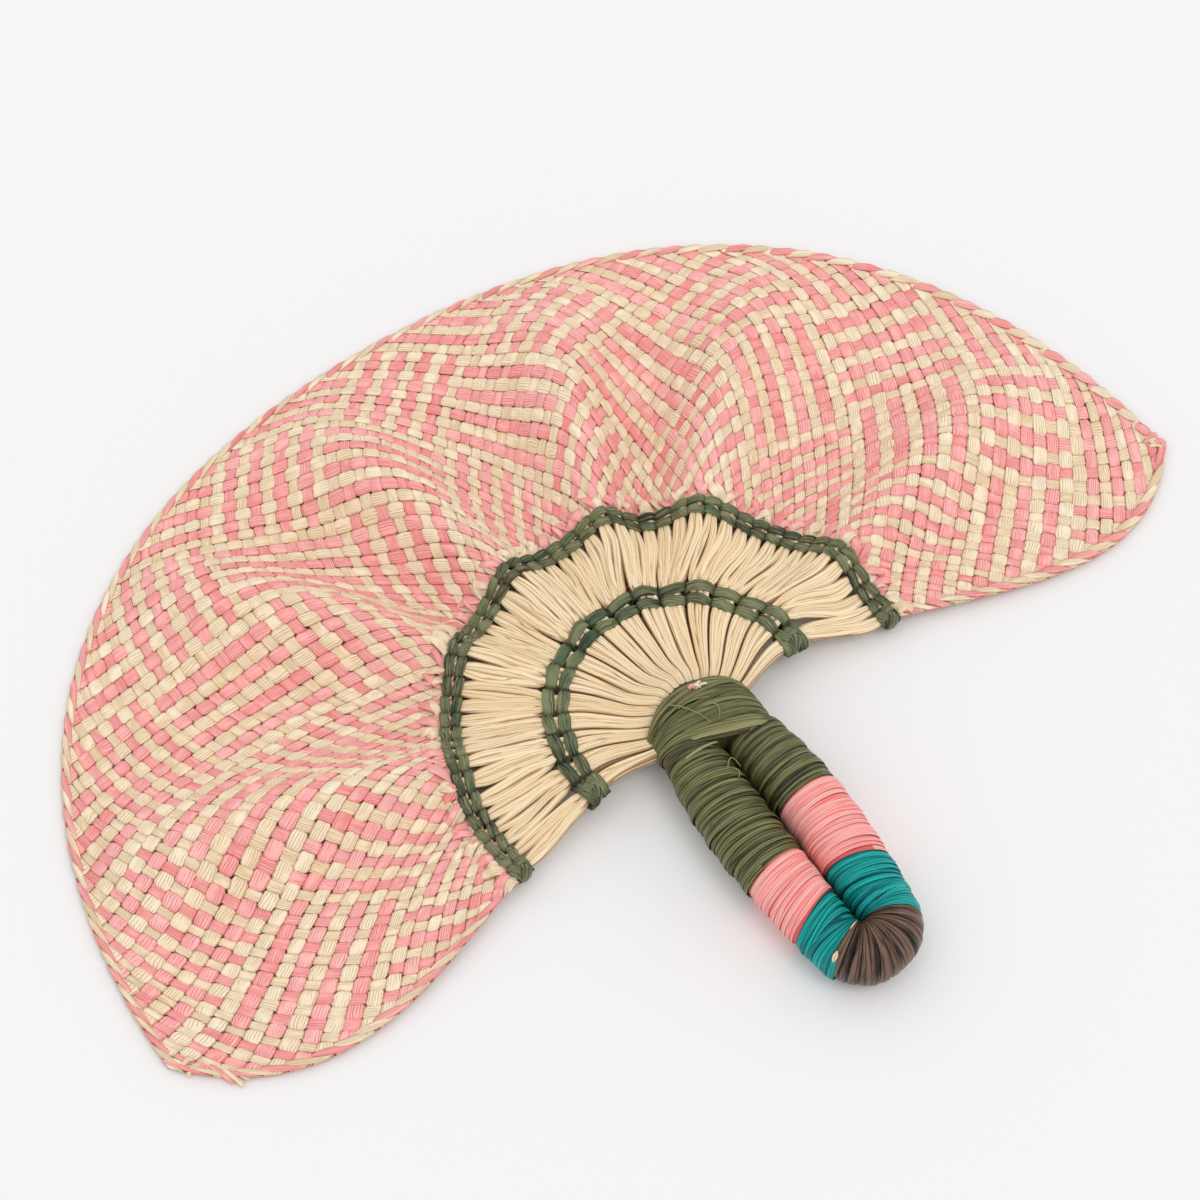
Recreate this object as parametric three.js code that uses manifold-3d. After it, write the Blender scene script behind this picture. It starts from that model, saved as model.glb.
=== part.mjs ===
// A half-moon plaited palm leaf fan with a wrapped loop handle, lying on a table.
// Millimetres. X runs across the blade, Y from the handle to the top of the blade, Z up.
// The two twined rows are arcs about one centre, the twine centre, which is the drawing origin.
import * as THREE from 'three';
import Module from 'manifold-3d';
import { mergeVertices } from 'three/addons/utils/BufferGeometryUtils.js';

const wasm = await Module();
wasm.setup();

// Clearances between pieces that touch on the real fan
const SEAT_GAP = 0.3;
const TURN_GAP = 0.5;

// Twined rows: radius, angle from rib to rib, and the sizes of a rib and a strand in the row
const INNER_ROW = {
  radius: 47, stepAngle: 11.6, ribWidth: 6.0, ribThickness: 5.0,
  strandWidth: 5.2, crossWidth: 2.0, strandThickness: 1.1,
};
const OUTER_ROW = {
  radius: 84.5, stepAngle: 4.08, ribWidth: 3.4, ribThickness: 2.2,
  strandWidth: 4.4, crossWidth: 1.6, strandThickness: 0.8,
};
const STRAND_SLACK = 0.25;
const SHOULDER_DROP = 0.35;
const KNOT_GAP = 0.5;
const KNOT_WALL = 0.9;
const KNOT_BULGE_RATIO = 1.3;

// Plaited blade
const RIM_RADIUS = 217.5;
const RIM_WIDENING = 6.0;
const RIM_SQUARING = 3.8;
const MAT_BEYOND_ROW = 4.0;
const MAT_INNER_RADIUS = OUTER_ROW.radius + MAT_BEYOND_ROW;
const MAT_THICKNESS = 2.6;
const MAT_HALF_ANGLE = 99.2;
const EDGE_BULGE_ANGLE = 13;
const TIP_ROUNDING_ANGLE = 7.5;
const MAT_TURN_ANGLE_AT_TWINE = 1.8;
const MAT_TURN_ANGLE_AT_RIM = -0.8;
const RIM_FLAT_RATIO = 0.965;

// Six ridges that radiate over the blade, set in slightly uneven pairs. Two of them lean over
// towards the middle of the blade where they run into the outer row.
const RIDGE_COUNT = 6;
const RIDGE_PITCH_ANGLE = 29;
const RIDGE_PAIRING_ANGLE = 1.75;
const RIDGE_MIDDLE_ANGLE = 86.75;
const RIDGE_LEAN_ANGLE = 5.5;
const RIDGE_LEAN_AT_ANGLE = 60;
const RIDGE_LEAN_SPREAD_ANGLE = 26;
const CREST_SHARPNESS_RATIO = 1.4;
const WAVE_AT_TWINE = 5.5;
const WAVE_IN_MIDDLE = 8.0;
const BLADE_LIFT = 4.5;

// Rib bundles and the fingers that they split into
const BUNDLE_COUNT = 17;
const BUNDLE_MIDDLE_ANGLE = 94.5;
const FINGER_MIDDLE_ANGLE = 90 + MAT_TURN_ANGLE_AT_TWINE;
const FINGERS_PER_BUNDLE = 3;
const FINGERS_PER_END_BUNDLE = 2;
const ROOT_RADIUS = 13;
const ROOT_CENTRE_Y = -7;
const ROOT_WIDTH = 2.2;
const LEVEL_RADIUS = 26;
const SPLIT_BEYOND_ROW = 7;
const SPLIT_RADIUS = INNER_ROW.radius + SPLIT_BEYOND_ROW;
const FINGER_WIDTH_AT_SPLIT = 3.1;

// Loop handle
const HANDLE_LEAN_ANGLE = 2.2;
const LEG_TOP_Y = -12.5;
const LEG_START_Y = -18;
const BEND_Y = -101.5;
const LEG_END_RADIUS = 10.2;
const LEG_SWELL = 2.1;
const LEG_LIFT = 0.5;
const SLIT_AT_NECK = 0.7;
const SLIT_AT_BEND = 1.6;
const SLIT_SWELL = 0.6;
const STRIP_THICKNESS = 1.0;
const STRIP_WIDTH = 2.7;
const LEG_SIDES = 12;
const BEND_TURNS = 12;
const BEND_CROWN = 0.6;
const BEND_EXTRA_HEIGHT = 1.0;
const NECK_BLOCK_THICKNESS = 16.2;
const NECK_TURNS = 6;
const NECK_LOW_Y = -27.5;
const NECK_SIDE_Y = -12.5;
const NECK_ARCH = 14.5;
const WRAP_START_Y = -31;
const LEFT_GREEN_END_Y = -70;
const LEFT_PINK_END_Y = -91;
const RIGHT_GREEN_END_Y = -54;
const RIGHT_PINK_END_Y = -86;
const TEAL_END_Y = BEND_Y + 2;
const TIE_LENGTH = 7;
const TIE_RADIUS = 0.75;
const TIE_PLACE_Y = -1.2;

const STRAW = 0xe9d3a0;
const PINK_MAT = 0xefa9a4;
const DARK_GREEN = 0x46563a;
const WRAP_GREEN = 0x4e583a;
const WRAP_PINK = 0xee7f86;
const WRAP_TEAL = 0x128079;
const WRAP_BROWN = 0x3f3029;

const rad = THREE.MathUtils.degToRad;
const clamp = THREE.MathUtils.clamp;
const lerp = THREE.MathUtils.lerp;
const smooth = (x) => THREE.MathUtils.smoothstep(x, 0, 1);
const V = (x, y, z) => new THREE.Vector3(x, y, z);

const fan = new THREE.Group();
const handle = new THREE.Group();
handle.position.set(0, ROOT_CENTRE_Y, 0);
handle.rotation.z = -rad(HANDLE_LEAN_ANGLE);
fan.add(handle);

function addPiece(parent, name, geometry, color, roughness) {
  const material = new THREE.MeshStandardMaterial({ color, roughness, metalness: 0 });
  const mesh = new THREE.Mesh(geometry, material);
  mesh.name = name;
  parent.add(mesh);
  return mesh;
}

// The handle's shapes are drawn about the twine centre and hang on the lean's pivot.
function addHandlePiece(name, geometry, color, roughness) {
  geometry.translate(0, -ROOT_CENTRE_Y, 0);
  return addPiece(handle, name, geometry, color, roughness);
}

// Makes a geometry of points and triangles, and turns every face outward.
function solid(points, triangles) {
  const flat = points.flatMap((p) => [p.x, p.y, p.z]);
  let volume = 0;
  const a = V();
  const b = V();
  const c = V();
  for (let i = 0; i < triangles.length; i += 3) {
    a.fromArray(flat, 3 * triangles[i]);
    b.fromArray(flat, 3 * triangles[i + 1]);
    c.fromArray(flat, 3 * triangles[i + 2]);
    volume += a.dot(b.cross(c));
  }
  const order = volume < 0 ? triangles.slice().reverse() : triangles;
  const geometry = new THREE.BufferGeometry();
  geometry.setAttribute('position', new THREE.Float32BufferAttribute(flat, 3));
  geometry.setIndex(order);
  geometry.computeVertexNormals();
  return geometry;
}

// Joins two rings of point numbers with a belt of triangles.
function belt(ringA, ringB, triangles) {
  const n = ringA.length;
  for (let i = 0; i < n; i += 1) {
    const j = (i + 1) % n;
    triangles.push(ringA[i], ringA[j], ringB[j]);
    triangles.push(ringA[i], ringB[j], ringB[i]);
  }
}

// Closes a ring of point numbers, as a fan from its first point.
function cap(ring, triangles, flip) {
  for (let i = 1; i + 1 < ring.length; i += 1) {
    const tri = [ring[0], ring[i], ring[i + 1]];
    triangles.push(...(flip ? tri.reverse() : tri));
  }
}

// A closed bar through a list of sections that all have the same number of points. The far half
// of each section is split the other way, so that opposite faces of a thin strip stay parallel.
function loft(sections) {
  const n = sections[0].length;
  const points = sections.flat();
  const triangles = [];
  for (let k = 0; k + 1 < sections.length; k += 1) {
    for (let i = 0; i < n; i += 1) {
      const a = k * n + i;
      const b = k * n + ((i + 1) % n);
      const quad = i < n / 2
        ? [a, b, b + n, a, b + n, a + n]
        : [a, b, a + n, b, b + n, a + n];
      triangles.push(...quad);
    }
  }
  const end = (k) => Array.from({ length: n }, (_, i) => k * n + i);
  cap(end(0), triangles, true);
  cap(end(sections.length - 1), triangles, false);
  return solid(points, triangles);
}

function toManifold(geometry) {
  geometry.deleteAttribute('normal');
  geometry.deleteAttribute('uv');
  const merged = mergeVertices(geometry, 1e-4);
  return new wasm.Manifold(new wasm.Mesh({
    numProp: 3,
    vertProperties: new Float32Array(merged.attributes.position.array),
    triVerts: new Uint32Array(merged.index.array),
  }));
}

function fromManifold(body) {
  const mesh = body.getMesh();
  const points = [];
  for (let i = 0; i < mesh.vertProperties.length; i += 3) {
    points.push(V(...mesh.vertProperties.subarray(i, i + 3)));
  }
  return solid(points, Array.from(mesh.triVerts));
}

// Blade surface

function rimRadius(angle) {
  const wide = RIM_WIDENING * Math.cos(2 * rad(angle));
  return RIM_RADIUS + wide - RIM_SQUARING * Math.cos(4 * rad(angle));
}

// Half the angle that the plait spans, s running from its inner edge to the rim
function halfAngle(s) {
  return MAT_HALF_ANGLE + EDGE_BULGE_ANGLE * s * (1 - s) - TIP_ROUNDING_ANGLE * s ** 4;
}

// Direction of a place on the plait, t running from its right edge, -1, to its left edge, 1
function matAngle(s, t) {
  return 90 + lerp(MAT_TURN_ANGLE_AT_TWINE, MAT_TURN_ANGLE_AT_RIM, s) + t * halfAngle(s);
}

// Wave of the blade, 1 on a ridge and -1 in a trough, flat beyond the last ridge
function wave(s, angle) {
  const near = Math.exp(-(((angle - RIDGE_LEAN_AT_ANGLE) / RIDGE_LEAN_SPREAD_ANGLE) ** 2));
  const upright = angle - RIDGE_LEAN_ANGLE * near * (1 - s) ** 1.5;
  const place = (upright - RIDGE_MIDDLE_ANGLE) / RIDGE_PITCH_ANGLE + (RIDGE_COUNT - 1) / 2;
  const pairing = RIDGE_PAIRING_ANGLE / RIDGE_PITCH_ANGLE;
  const paired = clamp(place + pairing * Math.cos(Math.PI * place), -0.5, RIDGE_COUNT - 0.5);
  const round = 0.5 + 0.5 * Math.cos(2 * Math.PI * paired);
  return 2 * round ** CREST_SHARPNESS_RATIO - 1;
}

function matHeight(s, angle) {
  const q = Math.min(s / RIM_FLAT_RATIO, 1);
  const amplitude = WAVE_AT_TWINE * (1 - q) + 4 * WAVE_IN_MIDDLE * q * (1 - q);
  const lift = BLADE_LIFT * (1 - q) ** 2;
  return MAT_THICKNESS / 2 + lift + amplitude * (1 + wave(s, angle));
}

function bladeMat() {
  const rows = [0, 0.08, 0.2, 0.34, 0.5, 0.66, 0.82, RIM_FLAT_RATIO, 1];
  const columns = 96;
  const points = [];
  for (const side of [1, -1]) {
    for (const s of rows) {
      for (let i = 0; i <= columns; i += 1) {
        const angle = matAngle(s, 1 - (2 * i) / columns);
        const r = lerp(MAT_INNER_RADIUS, rimRadius(angle), s);
        const z = matHeight(s, angle) + (side * MAT_THICKNESS) / 2;
        points.push(V(r * Math.cos(rad(angle)), r * Math.sin(rad(angle)), z));
      }
    }
  }
  const across = columns + 1;
  const under = rows.length * across;
  const triangles = [];
  for (let k = 0; k + 1 < rows.length; k += 1) {
    for (let i = 0; i < columns; i += 1) {
      const a = k * across + i;
      const quad = [a, a + 1, a + across + 1, a, a + across + 1, a + across];
      triangles.push(...quad);
      triangles.push(...quad.map((p) => p + under).reverse());
    }
  }
  const edge = [];
  const last = (rows.length - 1) * across;
  for (let i = 0; i < columns; i += 1) edge.push(i);
  for (let k = 0; k + 1 < rows.length; k += 1) edge.push(k * across + columns);
  for (let i = columns; i > 0; i -= 1) edge.push(last + i);
  for (let k = rows.length - 1; k > 0; k -= 1) edge.push(k * across);
  belt(edge.map((p) => p + under), edge, triangles);
  return solid(points, triangles);
}

// Ribs

const legTopHeight = LEG_END_RADIUS + LEG_SWELL + LEG_LIFT;

// Height of the ribs' middle surface, from the level neck to the wave of the blade
function ribHeight(r, angle) {
  const blend = smooth((r - LEVEL_RADIUS) / (MAT_INNER_RADIUS - LEVEL_RADIUS));
  return lerp(legTopHeight, matHeight(0, angle), blend);
}

function onBlade(r, angle, aside, rise) {
  const turned = angle + THREE.MathUtils.radToDeg(aside / r);
  const z = ribHeight(r, turned) + rise;
  return V(r * Math.cos(rad(turned)), r * Math.sin(rad(turned)), z);
}

function bundleAngle(k) {
  return BUNDLE_MIDDLE_ANGLE - (k - (BUNDLE_COUNT - 1) / 2) * INNER_ROW.stepAngle;
}

function fingersOf(k) {
  const isEnd = k === 0 || k === BUNDLE_COUNT - 1;
  return isEnd ? FINGERS_PER_END_BUNDLE : FINGERS_PER_BUNDLE;
}

const fingerTotal = Array.from({ length: BUNDLE_COUNT }, (_, k) => fingersOf(k))
  .reduce((sum, n) => sum + n, 0);

function fingerAngle(j) {
  return FINGER_MIDDLE_ANGLE - (j - (fingerTotal - 1) / 2) * OUTER_ROW.stepAngle;
}

// One bundle: a stem from the neck through the inner row, split into fingers up to the plait
function rib(k, firstFinger) {
  const angle = bundleAngle(k);
  const lift = Math.max(Math.sin(rad(angle)), 0);
  const fingers = fingersOf(k);
  const points = [];
  const triangles = [];

  // A stem section: a row of points on top, then the same row below, right to left
  const stem = (place, across, deep) => {
    const ring = [];
    for (const side of [1, -1]) {
      for (let i = 0; i <= fingers; i += 1) {
        const along = side > 0 ? i / fingers : 1 - i / fingers;
        ring.push(points.length);
        points.push(place((along - 0.5) * across, (side * deep) / 2));
      }
    }
    return ring;
  };
  const out = V(Math.cos(rad(angle)), Math.sin(rad(angle)), 0);
  const left = V(-out.y, out.x, 0);
  const root = V(0, ROOT_CENTRE_Y, legTopHeight).addScaledVector(out, ROOT_RADIUS + SEAT_GAP);
  const fromNeck = (far) => (aside, rise) => {
    const onRow = out.clone().multiplyScalar(INNER_ROW.radius * 0.9);
    const p = root.clone().lerp(onRow.setZ(legTopHeight), far);
    return p.addScaledVector(left, aside).setZ(legTopHeight + rise);
  };
  const fromTwine = (r) => (aside, rise) => onBlade(r, angle, aside, rise);
  const pinch = INNER_ROW.strandWidth / 2 + SEAT_GAP;
  const { ribWidth: width, ribThickness: thickness } = INNER_ROW;
  const rings = [
    stem(fromNeck(0), ROOT_WIDTH, NECK_BLOCK_THICKNESS * (0.25 + 0.55 * lift)),
    stem(fromNeck(0.4), 1.8 * ROOT_WIDTH, NECK_BLOCK_THICKNESS * (0.25 + 0.3 * lift)),
    stem(fromTwine(INNER_ROW.radius - 1.7 * pinch), 1.2 * width, 1.08 * thickness),
    stem(fromTwine(INNER_ROW.radius - pinch), width, thickness),
    stem(fromTwine(INNER_ROW.radius + pinch), width, thickness),
    stem(fromTwine(SPLIT_RADIUS), fingers * FINGER_WIDTH_AT_SPLIT, 0.84 * thickness),
  ];
  cap(rings[0], triangles, true);
  for (let i = 0; i + 1 < rings.length; i += 1) belt(rings[i], rings[i + 1], triangles);

  // Fingers start on the split section, so neighbours share its upright edges.
  const split = rings[rings.length - 1];
  const reach = OUTER_ROW.strandWidth / 2 + SEAT_GAP;
  const pinchStart = OUTER_ROW.radius - reach;
  const slim = OUTER_ROW.ribWidth;
  const flat = OUTER_ROW.ribThickness;
  const stations = [
    [lerp(SPLIT_RADIUS, pinchStart, 0.43), 1.2 * FINGER_WIDTH_AT_SPLIT, 1.36 * flat],
    [lerp(SPLIT_RADIUS, pinchStart, 0.86), 1.38 * slim, 1.18 * flat],
    [pinchStart, slim, flat],
    [OUTER_ROW.radius + reach, slim, flat],
    [MAT_INNER_RADIUS - SEAT_GAP, 1.4 * slim, flat],
  ];
  for (let f = 0; f < fingers; f += 1) {
    const aside = (f - (fingers - 1) / 2) * FINGER_WIDTH_AT_SPLIT;
    const startAngle = angle + THREE.MathUtils.radToDeg(aside / SPLIT_RADIUS);
    const endAngle = fingerAngle(firstFinger + fingers - 1 - f);
    const span = 2 * (fingers + 1);
    let ring = [split[f], split[f + 1], split[span - 2 - f], split[span - 1 - f]];
    for (const [r, across, deep] of stations) {
      const far = Math.min((r - SPLIT_RADIUS) / (pinchStart - SPLIT_RADIUS), 1);
      const at = lerp(startAngle, endAngle, far);
      const next = [[-1, 1], [1, 1], [1, -1], [-1, -1]].map(([x, z]) => {
        points.push(onBlade(r, at, (x * across) / 2, (z * deep) / 2));
        return points.length - 1;
      });
      belt(ring, next, triangles);
      ring = next;
    }
    cap(ring, triangles, false);
  }
  return solid(points, triangles);
}

// Twined rows: two strands that cross in every gap, so each rib sits in an eye between them

function twineStrand(row, angles, parity) {
  const { radius, ribWidth, ribThickness, strandWidth, crossWidth, strandThickness } = row;
  const over = (ribThickness + strandThickness) / 2 + SEAT_GAP + STRAND_SLACK;
  const shoulder = over - SHOULDER_DROP;
  const beside = ribWidth / 2 + 1.6 * SEAT_GAP;
  const apart = (crossWidth + TURN_GAP) / 2;
  const thin = 0.8 * strandThickness;
  const knotSide = ribWidth / 2 + KNOT_GAP + KNOT_BULGE_RATIO * KNOT_WALL;
  const reach = stepWidth(row) - knotSide - SEAT_GAP;
  const sections = [];
  const station = (angle, aside, outward, rise, width, thick) => {
    const corner = (dr, dz) => {
      const r = radius + outward + (dr * width) / 2;
      return onBlade(r, angle, aside, rise + (dz * thick) / 2);
    };
    sections.push([corner(-1, 1), corner(1, 1), corner(1, -1), corner(-1, -1)]);
  };
  const tied = angles.slice(1, -1);
  tied.forEach((angle, i) => {
    const up = (i + parity) % 2 === 0 ? 1 : -1;
    if (i === 0) station(angle, -reach, -up * apart, 0.3 * up * over, crossWidth, thin);
    station(angle, -beside, -up * apart, up * shoulder, crossWidth, thin);
    station(angle, 0, 0, up * over, strandWidth, strandThickness);
    station(angle, beside, up * apart, up * shoulder, crossWidth, thin);
    if (i === tied.length - 1) station(angle, reach, up * apart, 0.3 * up * over, crossWidth, thin);
  });
  return loft(sections);
}

function stepWidth(row) {
  return rad(row.stepAngle) * row.radius;
}

// End knot: a band tied round the last rib of a row, fullest in its middle
function endKnot(row, angle) {
  const ring = (wall, corner) => {
    const w = row.ribWidth / 2 + KNOT_GAP + wall;
    const t = row.ribThickness / 2 + KNOT_GAP + wall;
    const quarter = [[w, t - corner], [w - corner, t]];
    const upper = [...quarter, ...quarter.map(([x, z]) => [-x, z]).reverse()];
    return [...upper, ...upper.map(([x, z]) => [-x, -z])];
  };
  const rows = [
    [-0.5, ring(0.6 * KNOT_WALL, 0.9 * KNOT_WALL)],
    [-0.25, ring(KNOT_BULGE_RATIO * KNOT_WALL, 1.33 * KNOT_WALL)],
    [0.25, ring(KNOT_BULGE_RATIO * KNOT_WALL, 1.33 * KNOT_WALL)],
    [0.5, ring(0.6 * KNOT_WALL, 0.9 * KNOT_WALL)],
    [0.5, ring(0, 0.16 * KNOT_WALL)],
    [-0.5, ring(0, 0.16 * KNOT_WALL)],
  ];
  const points = [];
  const rings = rows.map(([along, shape]) => shape.map(([x, z]) => {
    points.push(onBlade(row.radius + along * row.strandWidth, angle, x, z));
    return points.length - 1;
  }));
  const triangles = [];
  rings.forEach((r, i) => belt(r, rings[(i + 1) % rings.length], triangles));
  return solid(points, triangles);
}

// Handle

// Outer radius, spacing and height of a leg at a place y along the handle
function leg(y) {
  const q = clamp((LEG_START_Y - y) / (LEG_START_Y - BEND_Y), 0, 1);
  const swell = Math.sin(Math.PI * q ** 0.8);
  const radius = LEG_END_RADIUS + LEG_SWELL * swell;
  const gap = lerp(SLIT_AT_NECK, SLIT_AT_BEND, q) + SLIT_SWELL * Math.sin(Math.PI * q) ** 2;
  const thickest = q < 0.42 ? LEG_END_RADIUS + LEG_SWELL : radius;
  return { radius, aside: radius + gap / 2, height: thickest + LEG_LIFT };
}

const wrapDepth = STRIP_THICKNESS + SEAT_GAP;
const coreRadius = (y) => leg(y).radius - wrapDepth;

function circlePoint(turn, radius) {
  const angle = 2 * Math.PI * turn;
  return { x: radius * Math.cos(angle), z: radius * Math.sin(angle) };
}

// Frames along the loop, left leg down, round the bend and up the right leg
function loopSections(legPlaces, bendSteps, sides, radiusAt) {
  const sections = [];
  const end = leg(BEND_Y);
  const onLeg = (y, side) => {
    const at = leg(y);
    sections.push(Array.from({ length: sides }, (_, i) => {
      const p = circlePoint(i / sides, radiusAt(y));
      return V(side * (at.aside + p.x), y, at.height + p.z);
    }));
  };
  legPlaces.forEach((y) => onLeg(y, -1));
  for (let i = 1; i < bendSteps; i += 1) {
    const angle = Math.PI + (Math.PI * i) / bendSteps;
    sections.push(Array.from({ length: sides }, (_, j) => {
      const p = circlePoint(j / sides, radiusAt(BEND_Y));
      const reach = end.aside + p.x;
      return V(reach * Math.cos(angle), BEND_Y + reach * Math.sin(angle), end.height + p.z);
    }));
  }
  legPlaces.slice().reverse().forEach((y) => onLeg(y, 1));
  return sections;
}

function handleCore() {
  const down = [0, 0.08, 0.19, 0.33, 0.5, 0.67, 0.81, 0.92, 1];
  const places = [LEG_TOP_Y, ...down.map((q) => lerp(LEG_START_Y, BEND_Y, q))];
  const loop = toManifold(loft(loopSections(places, 10, LEG_SIDES, coreRadius)));
  const shape = new THREE.Shape();
  shape.absarc(0, ROOT_CENTRE_Y, ROOT_RADIUS, -rad(22), Math.PI + rad(22));
  shape.lineTo(-leg(LEG_START_Y).aside, LEG_START_Y - STRIP_WIDTH);
  shape.lineTo(leg(LEG_START_Y).aside, LEG_START_Y - STRIP_WIDTH);
  const block = new THREE.ExtrudeGeometry(shape, {
    depth: NECK_BLOCK_THICKNESS, bevelEnabled: false, curveSegments: 24,
  });
  block.translate(0, 0, legTopHeight - NECK_BLOCK_THICKNESS / 2);
  return fromManifold(loop.add(toManifold(block)));
}

// Least distance between points of a winding that lie most of a turn apart
function leastSelfGap(sections, stepsPerTurn) {
  const apart = Math.round(0.75 * stepsPerTurn);
  let least = Infinity;
  for (let i = 0; i < sections.length; i += 1) {
    for (let j = i + apart; j < sections.length; j += 1) {
      for (const a of sections[i]) {
        for (const b of sections[j]) least = Math.min(least, a.distanceTo(b));
      }
    }
  }
  return least;
}

function reportGap(name, sections, stepsPerTurn) {
  const gap = leastSelfGap(sections, stepsPerTurn);
  const turns = (sections.length / stepsPerTurn).toFixed(1);
  console.log(`${name}: ${turns} turns, least gap to itself ${gap.toFixed(2)} mm`);
  if (gap < 0.4) throw new Error(`${name}: turns closer than 0.4 mm`);
}

// A flat strip wound down one leg between two places; turns are counted from the first one
function legWinding(name, side, fromY, toY, color) {
  const pitch = STRIP_WIDTH + TURN_GAP;
  const first = Math.round(((WRAP_START_Y - fromY) / pitch) * LEG_SIDES);
  const last = Math.round(((WRAP_START_Y - toY) / pitch) * LEG_SIDES);
  const at = (step) => {
    const middle = WRAP_START_Y - (pitch * step) / LEG_SIDES;
    const corner = (dy, layer) => {
      const y = middle + (dy * STRIP_WIDTH) / 2;
      const axis = leg(middle);
      const p = circlePoint(step / LEG_SIDES, coreRadius(middle) + SEAT_GAP + layer * STRIP_THICKNESS);
      return V(side * (axis.aside + p.x), y, axis.height + p.z);
    };
    return [corner(1, 0), corner(1, 1), corner(-1, 1), corner(-1, 0)];
  };
  const sections = [];
  for (let step = first; step <= last; step += 1) sections.push(at(step));
  // Draw the two ends back along their own facets, clear of the next strip.
  const trim = TURN_GAP / stepLength(fromY);
  const n = sections.length;
  sections[0] = sections[0].map((p, i) => p.clone().lerp(sections[1][i], trim));
  sections[n - 1] = sections[n - 1].map((p, i) => p.clone().lerp(sections[n - 2][i], trim));
  reportGap(name, sections, LEG_SIDES);
  addHandlePiece(name, loft(sections), color, 0.55);
}

function stepLength(y) {
  return (2 * Math.PI * leg(y).radius) / LEG_SIDES;
}

// The strip round both legs at the neck: its turns arch up over the roots of the ribs.
// One turn goes round an oval: which leg a point belongs to, and its angle on that leg.
const NECK_OVAL = [
  ...[0, 30, 60, 90].map((angle) => [1, angle]),
  [0, 90],
  ...[90, 120, 150, 180, 210, 240, 270].map((angle) => [-1, angle]),
  [0, 270],
  ...[270, 300, 330].map((angle) => [1, angle]),
];

// Height along the handle of the neck strip's middle line, flat at the sides and arched between
function neckRise(turn, x, widest) {
  const far = turn / NECK_TURNS;
  const arch = NECK_ARCH * Math.max(far, 0) ** 1.6;
  return lerp(NECK_LOW_Y, NECK_SIDE_Y, far) + arch * (1 - (x / widest) ** 2);
}

function neckWrap() {
  const stepsPerTurn = NECK_OVAL.length;
  const sections = [];
  for (let step = 0; step <= NECK_TURNS * stepsPerTurn; step += 1) {
    const turn = step / stepsPerTurn;
    const [side, angle] = NECK_OVAL[step % stepsPerTurn];
    const base = lerp(NECK_LOW_Y, NECK_SIDE_Y, turn / NECK_TURNS);
    const axis = leg(base);
    const inside = circlePoint(angle / 360, coreRadius(base) + SEAT_GAP);
    const outside = circlePoint(angle / 360, coreRadius(base) + SEAT_GAP + STRIP_THICKNESS);
    const widest = axis.aside + axis.radius;
    const x = side * axis.aside + outside.x;
    const y = neckRise(turn, x, widest);
    const room = neckRise(turn + 0.5, x, widest) - neckRise(turn - 0.5, x, widest);
    const slope = (2 * NECK_ARCH * x * (turn / NECK_TURNS) ** 1.6) / widest ** 2;
    const width = room - TURN_GAP * Math.hypot(1, slope);
    const corner = (p, up) => V(side * axis.aside + p.x, y + (up * width) / 2, axis.height + p.z);
    sections.push([corner(inside, 1), corner(outside, 1), corner(outside, -1), corner(inside, -1)]);
  }
  reportGap('neck_wrap', sections, stepsPerTurn);
  addHandlePiece('neck_wrap', loft(sections), WRAP_GREEN, 0.6);
}

// The wrap of the bend: its turns are pressed together inside the fold, so they are one skin
// with a crown for every turn on the outside.
function bendWrap() {
  const steps = 3 * BEND_TURNS;
  const end = leg(BEND_Y);
  const inner = coreRadius(BEND_Y) + SEAT_GAP;
  const points = [];
  const ringAt = (along, across, up, crown) => {
    const angle = Math.PI + Math.PI * along;
    return Array.from({ length: LEG_SIDES }, (_, j) => {
      const p = circlePoint(j / LEG_SIDES, 1);
      const swell = crown * (0.5 + 0.5 * p.x);
      const reach = end.aside + p.x * (across + swell);
      const z = end.height + p.z * (up + swell);
      points.push(V(reach * Math.cos(angle), BEND_Y + reach * Math.sin(angle), z));
      return points.length - 1;
    });
  };
  const rings = [];
  for (let i = 0; i <= steps; i += 1) {
    const crown = BEND_CROWN * Math.abs(Math.sin((Math.PI * i) / 3));
    rings.push(ringAt(i / steps, end.radius, end.radius + BEND_EXTRA_HEIGHT, crown));
  }
  for (let i = 10; i >= 0; i -= 1) rings.push(ringAt(i / 10, inner, inner, 0));
  const triangles = [];
  rings.forEach((ring, i) => belt(ring, rings[(i + 1) % rings.length], triangles));
  const body = toManifold(solid(points, triangles)).trimByPlane([0, 0, 1], 0);
  addHandlePiece('bend_brown_wrap', fromManifold(body), WRAP_BROWN, 0.45);
}

// The short tied ends that show at the top edge of the neck
function neckTie() {
  const top = legTopHeight + coreRadius(NECK_SIDE_Y) + wrapDepth + SEAT_GAP;
  const at = (along, aside, rise) => {
    return V(along * TIE_LENGTH, TIE_PLACE_Y + aside * TIE_LENGTH, top + rise * TIE_RADIUS);
  };
  const route = new THREE.CatmullRomCurve3([
    at(0.07, -0.2, 1.1), at(0.31, -0.03, 1.6), at(0.54, 0.11, 2.1),
    at(0.77, 0.17, 1.6), at(1.06, 0.11, 1.1),
  ]);
  const section = new THREE.Shape();
  section.absellipse(0, 0, TIE_RADIUS, 1.33 * TIE_RADIUS, 0, 2 * Math.PI);
  const knot = new THREE.ExtrudeGeometry(section, { steps: 8, extrudePath: route, curveSegments: 3 });
  knot.deleteAttribute('normal');
  knot.deleteAttribute('uv');
  addHandlePiece('neck_tie_knot', mergeVertices(knot, 1e-4), PINK_MAT, 0.7);
}

// Assembly

addPiece(fan, 'blade_mat', bladeMat(), PINK_MAT, 0.65);

let nextFinger = 0;
for (let k = 0; k < BUNDLE_COUNT; k += 1) {
  addPiece(fan, `rib_${String(k + 1).padStart(2, '0')}`, rib(k, nextFinger), STRAW, 0.6);
  nextFinger += fingersOf(k);
}

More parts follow.
